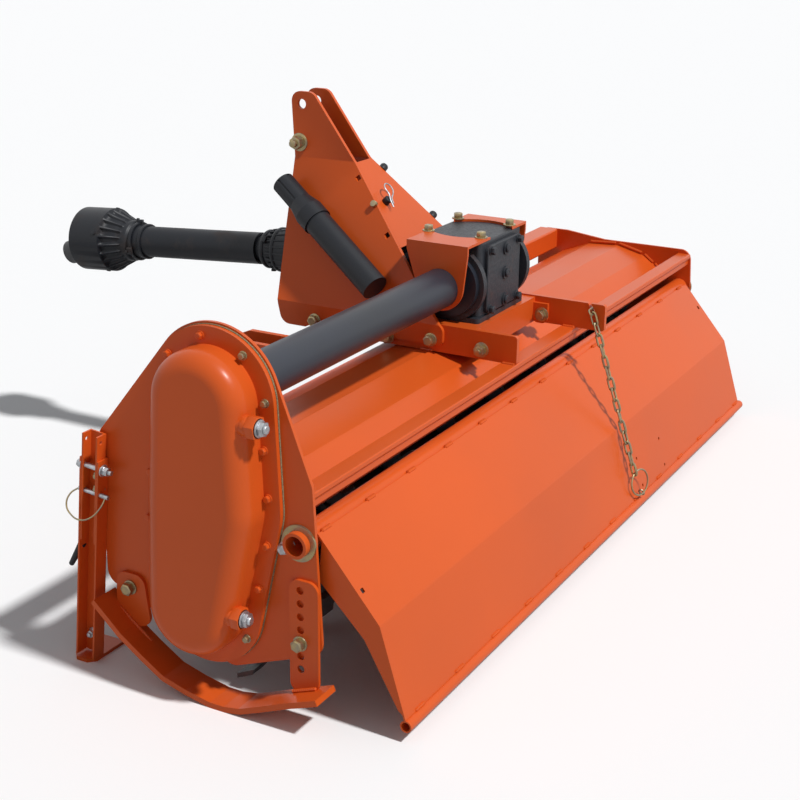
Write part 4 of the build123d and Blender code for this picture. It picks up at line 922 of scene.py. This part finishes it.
class ROTAVATOR_OT_gate_holes(bpy.types.Operator):
    """The tailgate's sheet with its round bolt holes in place of the slots"""
    bl_idname = "rotavator.gate_holes"
    bl_label = "Tailgate holes"

    def execute(self, context):
        bm = merged_copy("gate_panel")
        bend, foot = spot(0, *GATE_BEND), spot(0, *GATE_FOOT)
        run = (foot - bend).normalized()
        out = run.cross(RIGHT)

        def in_slots(vert):
            down = (vert.co - bend).dot(run) / MM
            return 150 < vert.co.x / MM < 250 and 8 < down < 36

        walls = [f for f in bm.faces if abs(f.normal.dot(out)) < 0.5 and all(in_slots(v) for v in f.verts)]
        bmesh.ops.delete(bm, geom=walls, context="FACES")
        rims = [e for e in bm.edges if e.is_boundary and all(in_slots(v) for v in e.verts)]
        bmesh.ops.holes_fill(bm, edges=rims, sides=0)
        bmesh.ops.recalc_face_normals(bm, faces=bm.faces)
        gate = object_of(bm, "gate_sheet")
        gate.data.materials.append(bpy.data.materials["rotavator_orange_paint"])

        plane = Matrix((RIGHT, -run, out)).transposed().to_4x4()
        for x, down in GATE_HOLES:
            bm = bmesh.new()
            seat = Matrix.Translation(bend + (RIGHT * x + run * down) * MM) @ plane
            bmesh.ops.create_cone(bm, cap_ends=True, segments=20, radius1=GATE_HOLE_R * MM,
                                  radius2=GATE_HOLE_R * MM, depth=20 * MM, matrix=seat)
            tool = object_of(bm, "tool")
            cut = gate.modifiers.new("cut", "BOOLEAN")
            cut.operation, cut.object, cut.solver = "DIFFERENCE", tool, "EXACT"
            graph = context.evaluated_depsgraph_get()
            made = bpy.data.meshes.new_from_object(gate.evaluated_get(graph))
            gate.modifiers.clear()
            gate.data = made
            bpy.data.meshes.remove(tool.data)
        shade(gate.data, 20)
        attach(gate, "tailgate")
        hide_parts("gate_panel")
        return {"FINISHED"}


class ROTAVATOR_OT_front_guard(bpy.types.Operator):
    """The driveline's outer half with its guard drawn back to show the yoke"""
    bl_idname = "rotavator.front_guard"
    bl_label = "Front guard"

    def execute(self, context):
        bm = merged_copy("driveline_outer")
        pivot = spot(0, PIVOT_Y, SHAFT_Z)
        rim = [v for v in bm.verts if (v.co - pivot).dot(SHAFT_AHEAD) / MM > GUARD_MOUTH - 22]
        bmesh.ops.translate(bm, vec=SHAFT_AHEAD * -GUARD_DRAWN * MM, verts=rim)
        guard = finish_piece(bm, "outer_guard", "driveline_front", "black_plastic")
        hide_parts("driveline_outer")
        return {"FINISHED"}


def clamp_ring(bm, along, radius):
    """A clamp ring round the driveline; sizes in mm."""
    seat = facing(on_shaft(along), SHAFT_AHEAD)
    lathe(bm, seat, (
        (radius - 2, -4), (radius + 1.5, -4), (radius + 2.5, -2),
        (radius + 2.5, 2), (radius + 1.5, 4), (radius - 2, 4)), 40)


class ROTAVATOR_OT_driveline_fittings(bpy.types.Operator):
    """Clamp rings, clips, screws and ribs of the driveline's guards"""
    bl_idname = "rotavator.driveline_fittings"
    bl_label = "Driveline fittings"

    def execute(self, context):
        front, rear = bmesh.new(), bmesh.new()
        for along, radius in FRONT_CLAMPS:
            clamp_ring(front, along, radius)
        for turn in (0.15, 2.3, 4.4):
            out = on_shaft(549, 41, turn) - on_shaft(549)
            block(front, facing(on_shaft(549, 41, turn), out), 12, 16, 7, 1.2)
            prism(front, facing(on_shaft(556, 46, turn), out), 3.5, -2, 5, 20, 0.8)
        for quarter in range(4):
            turn = radians(quarter * 90) + 0.4
            out = on_shaft(600, 50, turn) - on_shaft(600)
            prism(front, facing(on_shaft(628, 70, turn), out), 5, -1, 3, 20, 0.8)
        for along, radius in REAR_CLAMPS:
            clamp_ring(rear, along, radius)
        for rib in range(GUARD_RIBS):
            turn = 2 * pi * rib / GUARD_RIBS
            bead(rear, on_shaft(189, 41, turn), on_shaft(96, 55, turn), 2.3)
        for turn in (1.2, 3.3, 5.4):
            out = on_shaft(198, 38, turn) - on_shaft(198)
            block(rear, facing(on_shaft(190, 41, turn), out), 10, 14, 6, 1.2)
        finish_piece(front, "front_guard_fittings", "driveline_front", "black_plastic")
        finish_piece(rear, "rear_guard_fittings", "driveline_rear", "black_plastic")
        return {"FINISHED"}


class ROTAVATOR_OT_welds(bpy.types.Operator):
    """Weld beads of the frame and of the tailgate"""
    bl_idname = "rotavator.welds"
    bl_label = "Welds"

    def execute(self, context):
        radius = settings("hardware").weld / MM / 2
        bm = bmesh.new()
        for side in (-1, 1):
            outer = side * (SIDE + 7)
            for start, end in SKID_SEAMS:
                bead(bm, spot(outer, *start), spot(outer, *end), radius)
            inner = side * (SIDE - 7)
            for start, end in HOOD_SEAMS:
                bead(bm, spot(inner, *start), spot(inner, *end), radius)
            for x in (BAR_X + 1, BAR_X - 11):
                for start, end in BAR_SEAMS:
                    bead(bm, spot(side * x, *start), spot(side * x, *end), radius * 0.8)
            foot = side * (BAR_X + 9)
            bead(bm, spot(foot, 356, TUBE_TOP_Z + 1), spot(foot, 400, TUBE_TOP_Z + 1), radius)
            reach = HITCH_GAP + HITCH_PLATE
            for x in (1 - HITCH_GAP, HITCH_GAP - 1, -1 - reach, reach + 1):
                place = side * HITCH_X + x
                start, end = (spot(place, *at) for at in HITCH_SEAM)
                bead(bm, start, end, radius)
        finish_piece(bm, "frame_welds", "frame", "orange_paint")

        bm = bmesh.new()
        for index in range(13):
            x = -840 + index * 136
            bead(bm, spot(x, *HINGE_SEAM), spot(x + 26, *HINGE_SEAM), radius * 1.15)
            bead(bm, spot(x + 20, *FOOT_SEAM), spot(x + 50, *FOOT_SEAM), radius)
        finish_piece(bm, "gate_welds", "tailgate", "orange_paint")
        return {"FINISHED"}


class ROTAVATOR_OT_stage(bpy.types.Operator):
    """Floor, lights and camera"""
    bl_idname = "rotavator.stage"
    bl_label = "Stage"

    def execute(self, context):
        studio = settings("studio")
        bm = bmesh.new()
        bmesh.ops.create_grid(bm, x_segments=2, y_segments=2, size=30)
        floor = object_of(bm, "floor")
        floor_paint, tree, shader, _ = new_material("floor_paint", 0.9)
        rays = tree.nodes.new("ShaderNodeLightPath")
        white_floor = (0.97, 0.97, 0.97)
        shown = mixed(tree, rays.outputs["Is Camera Ray"], tuple(studio.floor), white_floor)
        connect(tree, shader, Base_Color=shown)
        shader.inputs["Specular IOR Level"].default_value = 0.1
        floor.data.materials.append(floor_paint)

        world = bpy.data.worlds.new("sky")
        context.scene.world = world
        world.use_nodes = True
        nodes, links = world.node_tree.nodes, world.node_tree.links
        soft = nodes["Background"]
        soft.inputs["Color"].default_value = (0.93, 0.96, 1.0, 1)
        soft.inputs["Strength"].default_value = studio.sky
        white = nodes.new("ShaderNodeBackground")
        white.inputs["Strength"].default_value = 1.0
        white.inputs["Color"].default_value = (1, 1, 1, 1)
        rays = nodes.new("ShaderNodeLightPath")
        seen = rays.outputs["Is Camera Ray"]
        for label in ("Is Glossy Ray", "Is Transmission Ray"):
            either = nodes.new("ShaderNodeMath")
            either.operation = "MAXIMUM"
            links.new(seen, either.inputs[0])
            links.new(rays.outputs[label], either.inputs[1])
            seen = either.outputs[0]
        both = nodes.new("ShaderNodeMixShader")
        links.new(seen, both.inputs[0])
        links.new(soft.outputs[0], both.inputs[1])
        links.new(white.outputs[0], both.inputs[2])
        links.new(both.outputs[0], nodes["World Output"].inputs["Surface"])

        lamp = bpy.data.lights.new("key", "SUN")
        lamp.energy = studio.sun
        lamp.angle = radians(4)
        key = bpy.data.objects.new("key", lamp)
        key.rotation_euler = SUN_FROM.to_track_quat("Z", "Y").to_euler()
        context.scene.collection.objects.link(key)

        lens = bpy.data.cameras.new("camera")
        lens.lens = CAMERA_LENS
        lens.clip_end = 100
        camera = bpy.data.objects.new("camera", lens)
        level_reach = cos(CAMERA_TILT)
        right = Vector((cos(CAMERA_TURN), sin(CAMERA_TURN), 0))
        ahead = Vector((-sin(CAMERA_TURN) * level_reach, cos(CAMERA_TURN) * level_reach, -sin(CAMERA_TILT)))
        aim = Matrix((right, right.cross(ahead), -ahead)).transposed().to_4x4()
        camera.matrix_world = Matrix.Translation(CAMERA_AT) @ aim @ Matrix.Rotation(CAMERA_ROLL, 4, "Z")
        context.scene.collection.objects.link(camera)
        context.scene.camera = camera
        context.scene.view_settings.view_transform = "Standard"
        return {"FINISHED"}


class ROTAVATOR_PT_panel(bpy.types.Panel):
    """The rotavator's operators and settings"""
    bl_idname = "ROTAVATOR_PT_panel"
    bl_label = "Rotavator"
    bl_space_type = "VIEW_3D"
    bl_region_type = "UI"
    bl_category = "Rotavator"

    def draw(self, context):
        for group in GROUPS:
            for name in group.__annotations__:
                self.layout.prop(settings(GROUPS[group]), name)
        for operator in OPERATORS:
            self.layout.operator(operator.bl_idname)


GROUPS = {RotavatorFinish: "finish", RotavatorHardware: "hardware", RotavatorStudio: "studio"}
OPERATORS = (
    ROTAVATOR_OT_finish_nodes, ROTAVATOR_OT_case_fasteners, ROTAVATOR_OT_gearbox_fasteners,
    ROTAVATOR_OT_deck_bolts, ROTAVATOR_OT_mast_plates, ROTAVATOR_OT_mast_hardware, ROTAVATOR_OT_hitch_pins,
    ROTAVATOR_OT_skid_bolts, ROTAVATOR_OT_stand_fittings, ROTAVATOR_OT_rotor_bolts, ROTAVATOR_OT_chain,
    ROTAVATOR_OT_gate_holes, ROTAVATOR_OT_front_guard, ROTAVATOR_OT_driveline_fittings, ROTAVATOR_OT_welds,
    ROTAVATOR_OT_stage,
)
CLASSES = (*GROUPS, *OPERATORS, ROTAVATOR_PT_panel)


def register():
    for cls in CLASSES:
        bpy.utils.register_class(cls)
    for group, name in GROUPS.items():
        setattr(bpy.types.Scene, "rotavator_" + name, bpy.props.PointerProperty(type=group))


def unregister():
    for name in GROUPS.values():
        delattr(bpy.types.Scene, "rotavator_" + name)
    for cls in reversed(CLASSES):
        bpy.utils.unregister_class(cls)


def main():
    register()
    for operator in OPERATORS:
        getattr(bpy.ops.rotavator, operator.bl_idname.split(".")[1])()


if __name__ == "__main__":
    main()
